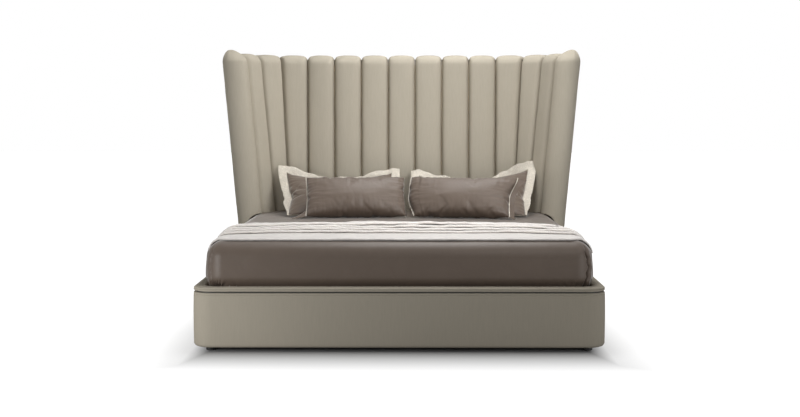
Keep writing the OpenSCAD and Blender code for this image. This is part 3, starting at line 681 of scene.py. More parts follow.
# A channel's rounding: a higher power makes its middle flatter, a lower one its flanks steeper
PUFF_FLAT, PUFF_STEEP = 2.6, 0.62
# Width of the groove at a seam, as a share of half a channel, its depth and its dip at the top
GROOVE_W, GROOVE_DEPTH, GROOVE_DIP = 0.095, 0.017, 0.010
# Unevenness of the crown, pinches at the shoulder and the seams' sideways wander
CROWN_SOFT, PINCHES, WANDER = 0.0016, 0.0022, 0.0013


def heights(base, low, top, count):
    """Heights from low to top, closer together beside the mattress's upper edge."""
    ledge = base + LEDGE
    return np.concatenate([np.linspace(low, ledge - 0.060, 5),
                           ledge + np.linspace(-0.046, 0.006, 12),
                           np.linspace(ledge + 0.020, top, count)])


def channel_stops(back):
    """Stops of a channel's path: seam n and z, crown's extra n and z, inside n and z."""
    b = sizes()
    base = rim_top() + PAD_GAP
    top, crown, inside = b.shoulder_z, b.channel_crown, back - 0.011
    stops = []
    for a in np.radians([0, 30, 60]):
        stops.append([0.016 * (1 - np.sin(a)), base + 0.012 * (1 - np.cos(a)),
                      -crown * (0.35 + 0.65 * np.sin(a)), 0, PAD, base])
    for z in heights(base, base + 0.02, top, 40):
        stops.append([0, z, -crown, 0, PAD, z])
    for a in np.radians(np.linspace(7, 90, 13)):
        stops.append([0.030 * (1 - np.cos(a)), top + b.top_pad * np.sin(a), -crown * np.cos(a),
                      b.top_dip * np.sin(a), PAD + 0.0003, top + 0.001])
    for a in np.radians(np.linspace(90, 20, 8)):
        stops.append([back - 0.040 + 0.040 * np.cos(a),
                      top + 0.012 + (b.top_pad - 0.012) * np.sin(a),
                      0, b.top_dip * np.sin(a), inside, top + 0.001])
    stops.append([back, top - 0.010, 0, 0, inside, top - 0.010])
    return np.array(stops)


def seam_places():
    b = sizes()
    straight = np.linspace(-b.straight_half, b.straight_half, 8)
    step = b.wing_r * b.wing_turn / 3
    wing = b.straight_half + step * np.arange(1, 4)
    return np.concatenate([-wing[::-1], straight, wing])


def channel_pad(i, s0, s1):
    b = sizes()
    middle, half = (s0 + s1) / 2, (s1 - s0) / 2 - SEAM_GAP
    near, far = channel_stops(0.0), channel_stops(1.0)
    rows, columns = len(near) - 1, ACROSS + BEHIND

    def place(u, v):
        column, row = cell(u, v, columns, rows)
        front = column <= ACROSS
        w = np.where(front, np.sin((np.minimum(column, ACROSS) / ACROSS - 0.5) * math.pi),
                     1 - 2 * (column - ACROSS) / BEHIND)
        s = middle + half * w
        stop = near[row] + (far[row] - near[row]) * back_line(s)[:, None]
        puff = np.maximum(0, 1 - np.abs(w) ** PUFF_FLAT) ** PUFF_STEEP
        deep = np.exp(-((1 - np.abs(w)) / GROOVE_W) ** 2)
        grooved, dipped = stop[:, 0] < 0.015, stop[:, 3] > 0
        n = np.where(front, stop[:, 0] + puff * stop[:, 2] + deep * GROOVE_DEPTH * grooved,
                     stop[:, 4] + 0.002)
        z = np.where(front, stop[:, 1] + puff * stop[:, 3] - deep * GROOVE_DIP * dipped, stop[:, 5])
        near_seam = np.exp(-((1 - np.abs(w)) / 0.22) ** 2)
        shoulder = np.exp(-((z - b.shoulder_z + 0.035) / 0.05) ** 2)
        soft = ripple((s, z * 0.35, i * 1.7), (0.09, 0.09, 0.09), 3 + i)
        pinch = ripple((s, z, 0), (0.05, 0.018, 1), 11 + i)
        loose = np.abs(w) < 0.999
        n = n + np.where(front, puff * CROWN_SOFT * soft
                         + PINCHES * near_seam * shoulder * pinch * loose, 0)
        s = s + WANDER * ripple((np.sign(w) * 0.5 + i, z, 0), (1, 0.12, 1), 5) * loose
        co = headboard_point(s, n, z)
        if s0 * s1 > 0 and min(abs(s0), abs(s1)) > b.straight_half - 0.01:
            fore, aft = clear_of_mattress(co, 0.0006), clear_of_mattress(co, 0.005)
            co = np.where(front[:, None], fore, aft)
        return co

    piece = close_up(woven(f"channel_{i:02d}_pad", columns, rows, place), holes=True)
    upholstered(piece, 75, [f"channel_{i:02d}"])


class BED_OT_channels(bpy.types.Operator):
    """Makes the padded channels of the headboard"""
    bl_idname = "bed.channels"
    bl_label = "Channels"

    def execute(self, context):
        seams = seam_places()
        for i in range(13):
            channel_pad(i + 1, seams[i], seams[i + 1])
        return {"FINISHED"}


SIDES = ((1, "right"), (-1, "left"))
# A roll's radius, its middle's depth behind the seam line and distance from the wing's end,
# the height of its domed top, and the gap to the wing
ROLL_R, ROLL_DEPTH, ROLL_OUT, DOME, ROLL_GAP = 0.073, 0.062, 0.048, 0.075, 0.0003
ROLL_RISE = 0.020  # height of a roll over the channels
ROLL_SOFT, ROLL_CREASE = 0.0012, 0.0022  # its unevenness, and the creases round its top
COVER_T, COVER_EDGE = 0.009, 0.002  # thickness and edge radius of cloth over a board


class BED_OT_end_rolls(bpy.types.Operator):
    """Makes the rolls that close the wings"""
    bl_idname = "bed.end_rolls"
    bl_label = "End rolls"

    def execute(self, context):
        for side, word in SIDES:
            self.roll(side, word)
        return {"FINISHED"}

    def roll(self, side, word):
        b = sizes()
        top = b.shoulder_z + b.top_pad + b.top_dip + ROLL_RISE
        base = rim_top() + PAD_GAP
        upright = np.concatenate([[base, base + 0.01, base + 0.03],
                                  heights(base, base + 0.05, top - DOME, 36)])
        lean = np.radians(np.linspace(0, 87, 17)[1:])
        up = np.sin(lean)
        levels = np.concatenate([upright, top - DOME + DOME * up])
        domed = 0.5 * (1 - 0.95 * up ** 1.7) + 0.5 * np.cos(lean) ** 0.9
        shares = np.concatenate([[0.93, 0.97, 1.0], np.ones(len(upright) - 3), domed])
        shifts = np.concatenate([np.zeros(len(upright)), 0.42 * ROLL_R * up * up])
        columns, around, rows = 44, 36, len(levels) - 1
        opening = math.asin((ROLL_OUT - ROLL_GAP) / ROLL_R)

        def place(u, v):
            column, row = cell(u, v, columns, rows)
            curved = column <= around
            a = math.pi + opening - (math.pi + 2 * opening) * np.minimum(column, around) / around
            share, z = shares[row], levels[row]
            n = ROLL_DEPTH + share * ROLL_R * np.cos(a)
            o = ROLL_GAP + share * (ROLL_OUT - ROLL_GAP + ROLL_R * np.sin(a))
            left = ROLL_DEPTH - share * ROLL_R * math.cos(opening)
            right = ROLL_DEPTH + share * ROLL_R * math.cos(opening)
            flat = (column - around) / (columns - around)
            n = np.where(curved, n, right + (left - right) * flat) + shifts[row]
            o = np.where(curved, o, ROLL_GAP)
            high = ramp(z, top - DOME - 0.02, top - 0.01)
            crease = np.cos(a * 9 + 1.2) * np.exp(-((a - 0.9) / 0.7) ** 2) * high
            soft = ripple((a * 0.05, z * 0.3, 0), (0.05, 0.05, 0.05), 21 + side)
            swell = np.where(curved, ROLL_SOFT * soft + ROLL_CREASE * crease, 0)
            n, o = n + swell * np.cos(a), o + swell * np.sin(a)
            co = clear_of_mattress(roll_point(n, np.maximum(o, ROLL_GAP), z), 0.0008)
            co[:, 0] *= side
            return co

        piece = close_up(woven(f"end_roll_{word}_pad", columns, rows, place), holes=True)
        upholstered(piece, 60, [f"end_roll_{word}"])


class BED_OT_shells(bpy.types.Operator):
    """Makes the upholstered shells round the wings and the back panel"""
    bl_idname = "bed.shells"
    bl_label = "Wing shells and back"

    def execute(self, context):
        b = sizes()
        base, low, top = rim_top() + 0.0003, 0.060, b.shoulder_z - 0.0103
        joint = b.straight_half + 0.0163
        end = b.straight_half + b.wing_r * b.wing_turn

        def crown(u, v, depth):
            edge = np.minimum(np.minimum(u, 1 - u), np.minimum(v, 1 - v))
            return depth * np.minimum(1, 12 * edge) ** 0.5

        def back(u, v):
            x = (2 * u - 1) * (joint - 0.0003)
            z = low + (top - low) * v
            y = FOOT_Y + b.seam_y + b.back_n - 0.003 + crown(u, v, 0.003)
            return np.stack([x, y, z], 1)

        for side, word in SIDES:
            def shell(u, v):
                s = joint + (end - joint) * u
                z = base + (top - base) * v
                co = headboard_point(s, back_line(s) - 0.003 + crown(u, v, 0.004), z)
                co[:, 0] *= side
                return co
            piece = woven(f"wing_shell_{word}", 44, 48, shell)
            self.cover(piece, (0, 0.3, 0.8), f"wing_cover_{word}")
        self.cover(woven("back_panel_cover", 60, 60, back), (0, 0, 0.8), "headboard_back")
        return {"FINISHED"}

    def cover(self, piece, inside, stands_for):
        """Gives cloth over a board its thickness, on the side of a point inside the bed."""
        face_away(piece, inside)
        modify(piece, "SOLIDIFY", thickness=COVER_T, offset=-1)
        modify(piece, "BEVEL", width=COVER_EDGE, segments=2, limit_method="ANGLE",
               angle_limit=math.radians(50))
        upholstered(piece, 60, [stands_for])


# Base covers

BOX_T = 0.0248  # thickness of the box's rails with their cover
BELLY, GATHERS = 0.0022, 0.0012  # swelling of its faces, and wrinkles beside its lower corners


def box_path(step):
    """Points once round the box in plan, each with the way inwards."""
    half, long = box_plan()
    r = sizes().box_r
    path = []

    def run(x0, y0, x1, y1, way):
        count = max(1, int(round(math.hypot(x1 - x0, y1 - y0) / step)))
        for k in range(count):
            path.append((x0 + (x1 - x0) * k / count, y0 + (y1 - y0) * k / count, *way))

    def corner(cx, cy, a0, a1):
        for k in range(14):
            a = math.radians(a0 + (a1 - a0) * k / 14)
            path.append((cx + r * math.cos(a), cy + r * math.sin(a), -math.cos(a), -math.sin(a)))

    path.append((-half, long, 1, -1))
    run(-half, long - 0.004, -half, r, (1, 0))
    corner(-half + r, r, 180, 270)
    run(-half + r, 0, half - r, 0, (0, 1))
    corner(half - r, r, 270, 360)
    run(half, r, half, long - 0.004, (-1, 0))
    path.append((half, long - 0.004, -1, 0))
    path.append((half, long, -1, -1))
    run(half - 0.004, long, -half + 0.004, long, (0, -1))
    path.append((-half + 0.004, long, 0, -1))
    return np.array(path)


def swept(name, columns, rows, place):
    """A closed section round a closed path. Place gives x, y and z for column and row numbers."""
    def wrapped(u, v):
        column, row = cell(u, v, columns, rows)
        x, y, z = place(column % columns, row % rows)
        return np.stack([x, y + FOOT_Y, z], 1)

    return close_up(woven(name, columns, rows, wrapped))


def quarter(cx, cz, r, a0, a1, count):
    a = np.radians(np.linspace(a0, a1, count))
    return np.stack([cx + r * np.cos(a), cz + r * np.sin(a)], 1)


class BED_OT_base(bpy.types.Operator):
    """Makes the cover of the box and the padded rim above it"""
    bl_idname = "bed.base"
    bl_label = "Box and rim"

    def execute(self, context):
        b = sizes()
        path = box_path(0.02)
        low, high, inside = b.foot_h, b.foot_h + b.box_h, BOX_T
        outline = np.concatenate([
            [[inside, low + 0.0005], [0.019, low]],
            quarter(0.014, low + 0.014, 0.014, 270, 180, 8),
            np.stack([np.zeros(11), np.linspace(low + 0.024, high - 0.016, 11)], 1),
            [[0.0003, high - 0.0125], [0.0014, high - 0.0108], [0.0003, high - 0.0090]],
            quarter(0.006, high - 0.006, 0.006, 180, 90, 6),
            [[0.015, high], [inside, high]],
            np.stack([np.full(3, inside), np.linspace(high - 0.06, low + 0.06, 3)], 1)])
        inwards, z = outline.T
        belly = np.sin(np.pi * np.clip((z - low) / b.box_h, 0, 1)) ** 0.7
        cuts = []
        for x, y in path[:, :2]:
            gather = np.exp(-(np.hypot(abs(x) - 0.86, y - 0.06) / 0.10) ** 2)
            wave = math.sin(x * 160 + y * 130) * gather * GATHERS \
                * np.exp(-((z - low) / 0.04) ** 2)
            cuts.append(inwards - (np.where(inwards < 0.001, BELLY * belly, 0)
                                   + np.where(inwards < 0.012, wave, 0)))
        cuts = np.array(cuts)

        def place(column, row):
            far = cuts[column, row]
            return (path[column, 0] + path[column, 2] * far,
                    path[column, 1] + path[column, 3] * far, z[row])

        upholstered(swept("box_cover", len(path), len(outline), place), 60,
                    ["foot_rail", "side_rail_left", "side_rail_right", "head_rail"])
        self.rim(path)
        return {"FINISHED"}

    def rim(self, path):
        b = sizes()
        z0 = b.foot_h + b.box_h + b.gap_h
        z1 = z0 + b.rim_t
        half, long = box_plan()
        open_half, open_r = b.mattress_w / 2 + b.fit, b.corner_r + b.fit
        front, rear = b.foot_ledge - b.fit, b.foot_ledge + b.mattress_l + b.fit

        def inner_edge(x, y, nx, ny):
            """Plan point of the opening that faces a point of the outer edge."""
            if ny > 0 and nx != 0 or (y < b.box_r and ny >= 0):
                a = math.atan2(-ny, -nx)
                side = math.copysign(1, x) if abs(x) > half - b.box_r - 1e-6 else 0
                if side:
                    return (side * (open_half - open_r) + open_r * math.cos(a),
                            front + open_r + open_r * math.sin(a))
                return x / (half - b.box_r) * (open_half - open_r), front
            if ny < 0 and nx == 0:
                return np.clip(x, -open_half, open_half), rear
            if ny < 0:
                return math.copysign(open_half, x), rear
            t = (y - b.box_r) / (long - b.box_r)
            return math.copysign(open_half, x), front + open_r + t * (rear - front - open_r)

        inner = np.array([inner_edge(*p) for p in path])
        seam, upper = b.rim_t - 0.0060, 0.0052
        across = np.concatenate([quarter(seam / 2, z0 + seam / 2, seam / 2, 270, 110, 10),
                                 [[0.0050, z0 + seam]],
                                 quarter(upper + 0.0006, z1 - upper, upper, 188, 90, 7)])
        top = np.array([[0.0110, z1 + 0.0004, 0], [0.02, z1 + 0.0010, 0], [0, z1 + 0.0016, 0.5],
                        [0, z1 + 0.0012, 0.85], [-0.005, z1 - 0.0012, 1],
                        [-0.0005, z1 - 0.005, 1], [-0.0005, z0, 1], [0, z0, 0.5], [0.018, z0, 0]])
        outline = np.concatenate([np.column_stack([across, np.zeros(len(across))]), top])

        def place(column, row):
            outer, way, goal = path[column, :2], path[column, 2:], inner[column]
            span = goal - outer
            far = np.maximum(np.hypot(span[:, 0], span[:, 1]), 1e-6)[:, None]
            offset, z, share = outline[row].T
            start = np.where((share == 0)[:, None], outer + way * offset[:, None],
                             outer + span * share[:, None] + span / far * offset[:, None])
            return start[:, 0], start[:, 1], z

        upholstered(swept("rim_cover", len(path), len(outline), place), 60,
                    ["rim_foot", "rim_left", "rim_right", "rim_head"])


# Mattress and sheet

def mattress_z():
    return rim_top() - sizes().recess


def crown_z(inside):
    b = sizes()
    rise = np.sin(np.pi / 2 * np.clip((inside - b.edge_r) / 0.5, 0, 1))
    return mattress_z() + b.mattress_t + b.crown * rise


def bulging(bend, down):
    """How far the mattress's side swells, for cloth that is bent over its edge and hangs down."""
    return sizes().bulge * (0.5 * ramp(bend, 0, 1.5)
                            + 0.7 * np.sin(np.pi * np.clip(down / 0.17, 0, 1)))


def draped(a, d, over, drop, corner):
    """Lays flat cloth over the mattress. a and d are flat distances from its middle across
    and along. Returns the places and, for each, how far it lies round a corner and down, how
    far it is bent over the edge, and its way outwards."""
    b = sizes()
    hx, hy = b.mattress_w / 2 + over, b.mattress_l / 2 + over
    top_r = b.edge_r
    dx = np.maximum(0, np.abs(a) - (hx - corner))
    dy = np.maximum(0, np.abs(d) - (hy - corner))
    far = (dx ** 6 + dy ** 6) ** (1 / 6)
    angle = np.where(far > 1e-9, np.arctan2(dy, np.maximum(dx, 1e-12)), 0)
    flat_run = corner - top_r
    bend = np.clip((far - flat_run) / (top_r * math.pi / 2), 0, 1) * math.pi / 2
    before = flat_run + top_r * math.pi / 2
    slant = np.minimum(dx, dy) / np.maximum(np.maximum(dx, dy), 1e-12)
    longest = max(dx.max(), dy.max()) * (1 + slant ** 6) ** (1 / 6) - before
    down = np.maximum(0, far - before) * drop / longest
    out = np.minimum(far, flat_run) + top_r * np.sin(bend)
    inner_x, inner_y = np.minimum(np.abs(a), hx - corner), np.minimum(np.abs(d), hy - corner)
    inside = np.minimum(hx - np.abs(a), hy - np.abs(d))
    z = crown_z(np.maximum(inside, 0)) + over - top_r * (1 - np.cos(bend)) - down
    out = out + bulging(bend, down)
    x = np.sign(a) * (inner_x + out * np.cos(angle))
    y = np.sign(d) * (inner_y + out * np.sin(angle))
    way = np.stack([np.sign(a) * np.cos(angle), np.sign(d) * np.sin(angle)], 1)
    return np.stack([x, y, z], 1), angle, down, bend, way


def tucked(z):
    """How far the sheet draws in above the rim, where the mattress's lower edge turns under."""
    rim = mattress_z() + sizes().recess
    return 0.018 * np.clip((rim + 0.045 - z) / 0.045, 0, 1) ** 2


def crowded(u, edge, reach):
    """Flat distance from the middle for a share of the cloth, with closer rows round the edge."""
    stops = [0, edge - 0.09, edge + 0.06, reach]
    return np.sign(u - 0.5) * np.interp(np.abs(2 * u - 1), [0, 0.55, 0.85, 1], stops)


SHEET_OVER = 0.0033  # height of the sheet over the mattress
GATHER = 0.0075  # depth of the gathers beside the corners
RIDGE, GROOVE = 0.0040, 0.0150  # height and depth of the fold at a foot corner
CORNER_SOFT, TOP_SOFT, HEAD_SOFT = 0.0010, 0.0012, 0.0016  # creases there, on top, at the head


class BED_OT_sheet(bpy.types.Operator):
    """Makes the mattress and the satin fitted sheet"""
    bl_idname = "bed.sheet"
    bl_label = "Mattress and sheet"

    def execute(self, context):
        b = sizes()
        middle = FOOT_Y + b.foot_ledge + b.mattress_l / 2
        half_x, half_y = b.mattress_w / 2, b.mattress_l / 2
        hang = b.mattress_t - b.edge_r - 0.025
        reach_x = half_x + hang + (math.pi / 2 - 1) * b.edge_r
        reach_y = half_y + hang + (math.pi / 2 - 1) * b.edge_r

        def cloth(u, v):
            a, d = crowded(u, half_x, reach_x), crowded(v, half_y, reach_y)
            co, angle, down, bend, way = draped(a, d, SHEET_OVER, hang, b.edge_r + 0.004)
            near_corner = np.exp(-(np.abs(np.abs(co[:, 0]) - 0.9)
                                   + np.abs(np.abs(co[:, 1]) - 1.0)) / 0.20)
            along = np.where(way[:, 1] ** 2 > way[:, 0] ** 2, co[:, 0], co[:, 1]) + 0.09 * angle
            gather = np.sin(along * 300 + 110 * down + 3 * np.sin(along * 41)) \
                * ramp(down, 0.095, 0.128) * near_corner
            fold_at = 0.88 + 0.16 * ramp(down, 0.08, 0.14) + 0.06 * np.sin(co[:, 2] * 60) \
                + 0.04 * np.sin(co[:, 2] * 143)
            at_corner = ramp(bend, 0.5, 1.3)
            foot = d < 0
            groove = np.exp(-np.abs((angle - fold_at) / 0.045) ** 1.5) * at_corner * foot
            ridge = np.exp(-((angle - fold_at + 0.22) / 0.13) ** 2) * at_corner * foot
            soft = ripple(co * [1, 1, 0.6], (0.16, 0.16, 0.10), 31)
            fine = ripple(co, (0.035, 0.05, 0.05), 37)
            deep = np.where(a > 0, 1.0, 0.25)
            push = GATHER * gather + deep * (RIDGE * ridge - GROOVE * groove) \
                + CORNER_SOFT * soft * at_corner
            co[:, :2] += way * push[:, None]
            head = ramp(co[:, 1], 0.15, 0.45)
            co[:, 2] += (1 - ramp(bend, 0.0, 0.6)) * (0.0006 + TOP_SOFT * (soft + 0.4)
                                                      + head * HEAD_SOFT * (fine + 0.3))
            co[:, :2] -= way * tucked(co[:, 2])[:, None]
            rear = co[:, 1] > half_y
            co[:, 1] = np.where(rear, np.minimum(co[:, 1], half_y + 0.0012), co[:, 1])
            co[:, 1] += middle
            return co

        sheet = woven("satin_sheet", 260, 280, cloth)
        face_away(sheet, (0, middle, mattress_z()))
        finish_piece(sheet, 80, "Satin", ["fitted_sheet"])

        def core(u, v):
            a, d = (2 * u - 1) * reach_x, (2 * v - 1) * reach_y
            co, angle, down, bend, way = draped(a, d, -0.0005, hang + 0.02, b.edge_r + 0.003)
            slack = np.where(d < 0, 0.016, 0.005) * ramp(bend, 0.2, 1.0) \
                * np.abs(np.sin(2 * angle)) ** 0.7
            co[:, :2] -= way * (slack + 0.004 * ramp(down, 0.06, 0.10) + tucked(co[:, 2]))[:, None]
            co[:, 1] = np.minimum(co[:, 1], half_y - 0.002)
            co[:, 2] -= 0.0012
            co[:, 1] += middle
            return co

        piece = close_up(woven("mattress_core", 90, 100, core), holes=True)
        finish_piece(piece, 60, "Ticking", ["mattress"])
        return {"FINISHED"}


# Throw. The fronts are where its folds end towards the foot, from the foot end of the bed.

FRONTS = (0.140, 0.395, 0.470, 0.550, 0.645)
BACK = 0.800  # its back edge
LAP = 0.052  # how far a fold reaches under the next
REACH = 0.940  # half its width
THROW_OVER, THROW_T = 0.0045, 0.0009  # height of its middle over the mattress, and thickness
LOWEST = 0.0012  # height of its lowest layer over the sheet
SWAY, END_SWAY = 0.020, 0.010  # how far its folds wander, in the middle and at its ends
DRAWN_BACK = 0.085  # how far its ends are drawn back from the foot
FRONT_CRUSH, BUNCH = 0.0012, 0.0055  # crushing of the lowest front, and bunching of the ends


def over_side(a, y, h):
    """Place of cloth laid across the bed, at flat distance a from the middle and h over the
    sheet, y from the foot end."""
    b = sizes()
    half, r = b.mattress_w / 2 + THROW_OVER, b.edge_r
    flat = half - r
    bend = np.clip((np.abs(a) - flat) / (r * math.pi / 2), 0, 1) * math.pi / 2
    down = np.maximum(0, np.abs(a) - flat - r * math.pi / 2)
    inside = np.maximum(0, np.minimum(half - np.abs(a), y - b.foot_ledge))
    x = np.sign(a) * (np.minimum(np.abs(a), flat) + (r + h) * np.sin(bend) + bulging(bend, down))
    z = crown_z(inside) + THROW_OVER - r + (r + h) * np.cos(bend) - down
    return np.stack([x, y + FOOT_Y, z], 1)


def throw_line():
    """The folded cloth in side view: rows of distance from the foot end, height over the
    sheet and number of the fold."""
    line = [(y, LOWEST, 0) for y in np.linspace(BACK - 0.015, FRONTS[0] + 0.012, 26)]

    def loop(y, low, high, number, way=-1):
        mid, r = (low + high) / 2, (high - low) / 2
        for a in np.radians(np.linspace(-80, 80, 9)):
            line.append((y - way * r + way * 2.0 * r * math.cos(a), mid + r * math.sin(a), number))

    loop(FRONTS[0], LOWEST, 0.0125, 0)
    top = 0.0130
    for k, front in enumerate(FRONTS):
        last = front == FRONTS[-1]
        goal = BACK if last else FRONTS[k + 1] + LAP
        rest = 0.0045 + 0.0050 * k
        start = front + 0.010
        for y in np.linspace(start, goal - 0.006, 15)[1:]:
            t = (y - start) / (goal - start)
            fall = ramp(t, 0.25, 0.95) if k == 0 else ramp(t, 0.05, 0.50)
            line.append((y, rest + (top - rest) * (1 - fall), k))
        if last:
            loop(BACK, rest - 0.004, rest, k, 1)
            line.append((BACK - 0.02, rest - 0.0042, k))
            break
        loop(goal, rest, rest + 0.0035, k, 1)
        for y in np.linspace(goal - 0.008, FRONTS[k + 1] + 0.010, 4):
            line.append((y, rest + 0.0038, k + 1))
        top = rest + 0.0135
        loop(FRONTS[k + 1], rest + 0.0040, top, k + 1)
    return np.array(line)


class BED_OT_throw(bpy.types.Operator):
    """Makes the throw, one cloth laid in flat folds across the foot end"""
    bl_idname = "bed.throw"
    bl_label = "Throw"

    def execute(self, context):
        line = throw_line()
        rows, columns = len(line) - 1, 220
        gone = np.concatenate([[0], np.cumsum(np.hypot(*np.diff(line[:, :2], axis=0).T))])

        def cloth(u, v):
            row = cell(u, v, columns, rows)[1]
            y, h, fold = line[row].T
            share = gone[row] / gone[-1]
            under = share < 0.3
            right = REACH - 0.15 * ramp(share, 0.83, 0.88) - 0.02 * under
            left = REACH - 0.01 * under
            a = -left + (left + right) * u
            across = (a, fold * 0.9, 0)
            sway = ripple(across, (0.55, 1.0, 1), 51) + 0.35 * ripple(across, (0.13, 1.0, 1), 53)
            depth = ramp(y, 0.15, 0.30) * (1 - ramp(y, 0.74, 0.80))
            edge = ramp(np.abs(a), 0.80, 0.93)
            lift = ripple((a, y * 0.6, fold * 0.4), (0.20, 0.16, 1), 57)
            crush = ripple((a, fold * 0.3, 0), (0.05, 1, 1), 59)
            wander = END_SWAY * ripple((a, y, h), (0.05, 0.09, 1), 61)
            y = y + SWAY * sway * depth + edge * wander
            y = y + DRAWN_BACK * ramp(np.abs(a), 0.80, 0.91) * (1 - ramp(y, 0.16, 0.55))
            h = LOWEST + (h - LOWEST) * (1 + 0.20 * lift + 0.10 * crush) * (1 - 0.35 * edge)
            front = np.exp(-((y - 0.15) / 0.012) ** 2)
            bunch = ripple((a, y, fold * 0.5), (0.20, 0.024, 1), 63)
            h = h + FRONT_CRUSH * front * crush + edge * BUNCH * (bunch + 0.6) * ramp(y, 0.15, 0.19)
            return over_side(a, np.maximum(y, 0.13), np.maximum(h, 0.0008))

        piece = woven("folded_throw", columns, rows, cloth)
        modify(piece, "SOLIDIFY", thickness=THROW_T, offset=0)
        finish_piece(piece, 80, "Throw", ["throw"])
        return {"FINISHED"}


# Pillows. Their heights, borders and thicknesses are here, and their widths where each is made.

SHAM_H, SHAM_BORDER, SHAM_T = 0.540, 0.050, 0.115
LUMBAR_H, LUMBAR_END, LUMBAR_T = 0.260, 0.045, 0.150
PIPING_R = 0.0030
FRAMES = 22  # of cloth simulation
SHAM_SLOPE, SHAM_SAG = 8, 15.3  # degrees: slope of the lower edge, and sag of the upper one
LUMBAR_SLOPES = 44, 66  # degrees, at the lower and the upper edge
LUMBAR_AHEAD = 0.070  # distance of the lumbar pillows' front edge before the shams'
PILLOWS_X = 0.020  # how far all four lie to the right
REST_GAP = 0.0008  # gap between a pillow and the sheet
# A sham's border: long and short waves, crinkles, and how its corners stand out and draw in
LONG_WAVE, SHORT_WAVE, CRINKLE, TIP_OUT, TIP_IN = 0.020, 0.006, 0.0022, 0.012, -0.008
STRIP_T, STRIP_ROWS = 0.0011, 8  # half the thickness of a border, and its rows

# The shams' front edge from the foot end: the seam line less a crown, the room behind the
# pillows and the sham's length at a slope of 25 degrees
SHAM_FRONT = 2.112 - 0.030 - 0.080 - 0.640 * math.cos(math.radians(25))


def plump(u, v):
    return np.maximum(0, 1 - np.abs(u) ** 2.4) ** 0.55 * np.maximum(0, 1 - v * v) ** 0.5


def flat_body(name, w, h, columns, rows, start):
    """Two layers of cloth sewn together along their edges."""
    def place(u, v):
        front = u <= 0.5
        x = (np.where(front, 2 * u, 2 - 2 * u) - 0.5) * w
        y = (v - 0.5) * h
        return np.stack([x, y, np.where(front, 1, -1) * start * plump(2 * x / w, 2 * y / h)], 1)
    return close_up(woven(name, 2 * columns, rows, place))


def inflate(piece, flat, pressure, seed):
    """Blows the sewn layers up as cloth, so that creases form along the seams."""
    co = flat.copy()
    co[:, 2] += 0.0012 * ripple(flat, (0.06, 0.06, 0.06), seed) * (np.abs(flat[:, 2]) > 1e-6)
    set_points(piece, co)
    pick(piece)
    modifier = piece.modifiers.new("cloth", "CLOTH")
    cloth = modifier.settings
    cloth.quality = 6
    cloth.mass = 0.25
    cloth.tension_stiffness = cloth.compression_stiffness = 25
    cloth.shear_stiffness = 8
    cloth.bending_stiffness = 0.15
    cloth.use_pressure = True
    cloth.uniform_pressure_force = pressure
    cloth.effector_weights.gravity = 0
    modifier.collision_settings.use_collision = False
    modifier.point_cache.frame_start, modifier.point_cache.frame_end = 1, FRAMES
    for number in range(1, FRAMES + 1):
        bpy.context.scene.frame_set(number)
    bpy.ops.object.modifier_apply(modifier=modifier.name)
    bpy.context.scene.frame_set(1)


def fit_body(piece, flat, w, h, under, over, even):
    """Brings a filled body to its size. Even is how much of its thickness follows a plain
    cushion's."""
    straight = 0.8  # share of its seam's own waves that is taken out
    co = points(piece)
    co -= (co.max(0) + co.min(0)) / 2 * [1, 1, 0]
    co[:, :2] *= np.array([w, h]) / (co.max(0) - co.min(0))[:2]
    seam = Seam(co, flat, w, h)
    u, v = flat[:, 0] / w, flat[:, 1] / h
    for share, axis, t, across, goal in ((1.5 + v, 0, u, v, w / 2), (3.5 - v, 0, -u, v, -w / 2),
                                         (2.5 - u, 1, v, u, h / 2), (0.5 + u, 1, -v, u, -h / 2)):
        edge = seam.at(share)
        goal = goal * (0.985 + 0.06 * across ** 2)
        co[:, axis] += straight * ramp(2 * t, 0.2, 1) * (goal - edge[:, axis])
        co[:, 2] -= straight * np.exp((2 * t - 1) / 0.12) * edge[:, 2]
    co[:, 2] *= np.where(co[:, 2] > 0, over / co[:, 2].max(), -under / co[:, 2].min())
    plain = np.sign(flat[:, 2]) * np.where(flat[:, 2] > 0, over, under) * plump(2 * u, 2 * v)
    co[:, 2] += even * (plain - co[:, 2]) * (np.abs(flat[:, 2]) > 1e-7)
    set_points(piece, co)


def gather_in(piece, w, h, depth, seed):
    """Presses small wrinkles into a body, running in from its seams."""
    co = points(piece)
    from_end, from_edge = w / 2 - np.abs(co[:, 0]), h / 2 - np.abs(co[:, 1])
    side = co * [1, 1, 8]
    ends = ripple(side, (0.10, 0.020, 1), seed) * np.exp(-np.maximum(from_end, 0) / 0.075)
    edges = ripple(side, (0.022, 0.08, 1), seed + 1) * np.exp(-np.maximum(from_edge, 0) / 0.045)
    inner = ramp(np.minimum(from_end, from_edge), 0.001, 0.014)
    co[:, 2] += np.sign(co[:, 2]) * depth * (ends + edges) * inner
    set_points(piece, co)


def edge_share(x, y, w, h):
    """How far round the edge a point lies, from 0 at the lower left corner to 4."""
    u, v = x / w + 0.5, y / h + 0.5
    near, far = 1e-3, 1 - 1e-3
    return np.where(v < near, u, np.where(u > far, 1 + v, np.where(v > far, 3 - u, 4 - v)))


class Seam:
    """The seam round a pillow's body once it is filled."""

    def __init__(self, co, flat, w, h):
        on = np.abs(flat[:, 2]) < 1e-7
        share = edge_share(flat[on, 0], flat[on, 1], w, h)
        order = np.argsort(share)
        self.share = share[order]
        self.co = co[on][order]

    def at(self, share):
        return np.stack([np.interp(share, self.share, self.co[:, k], period=4)
                         for k in range(3)], 1)


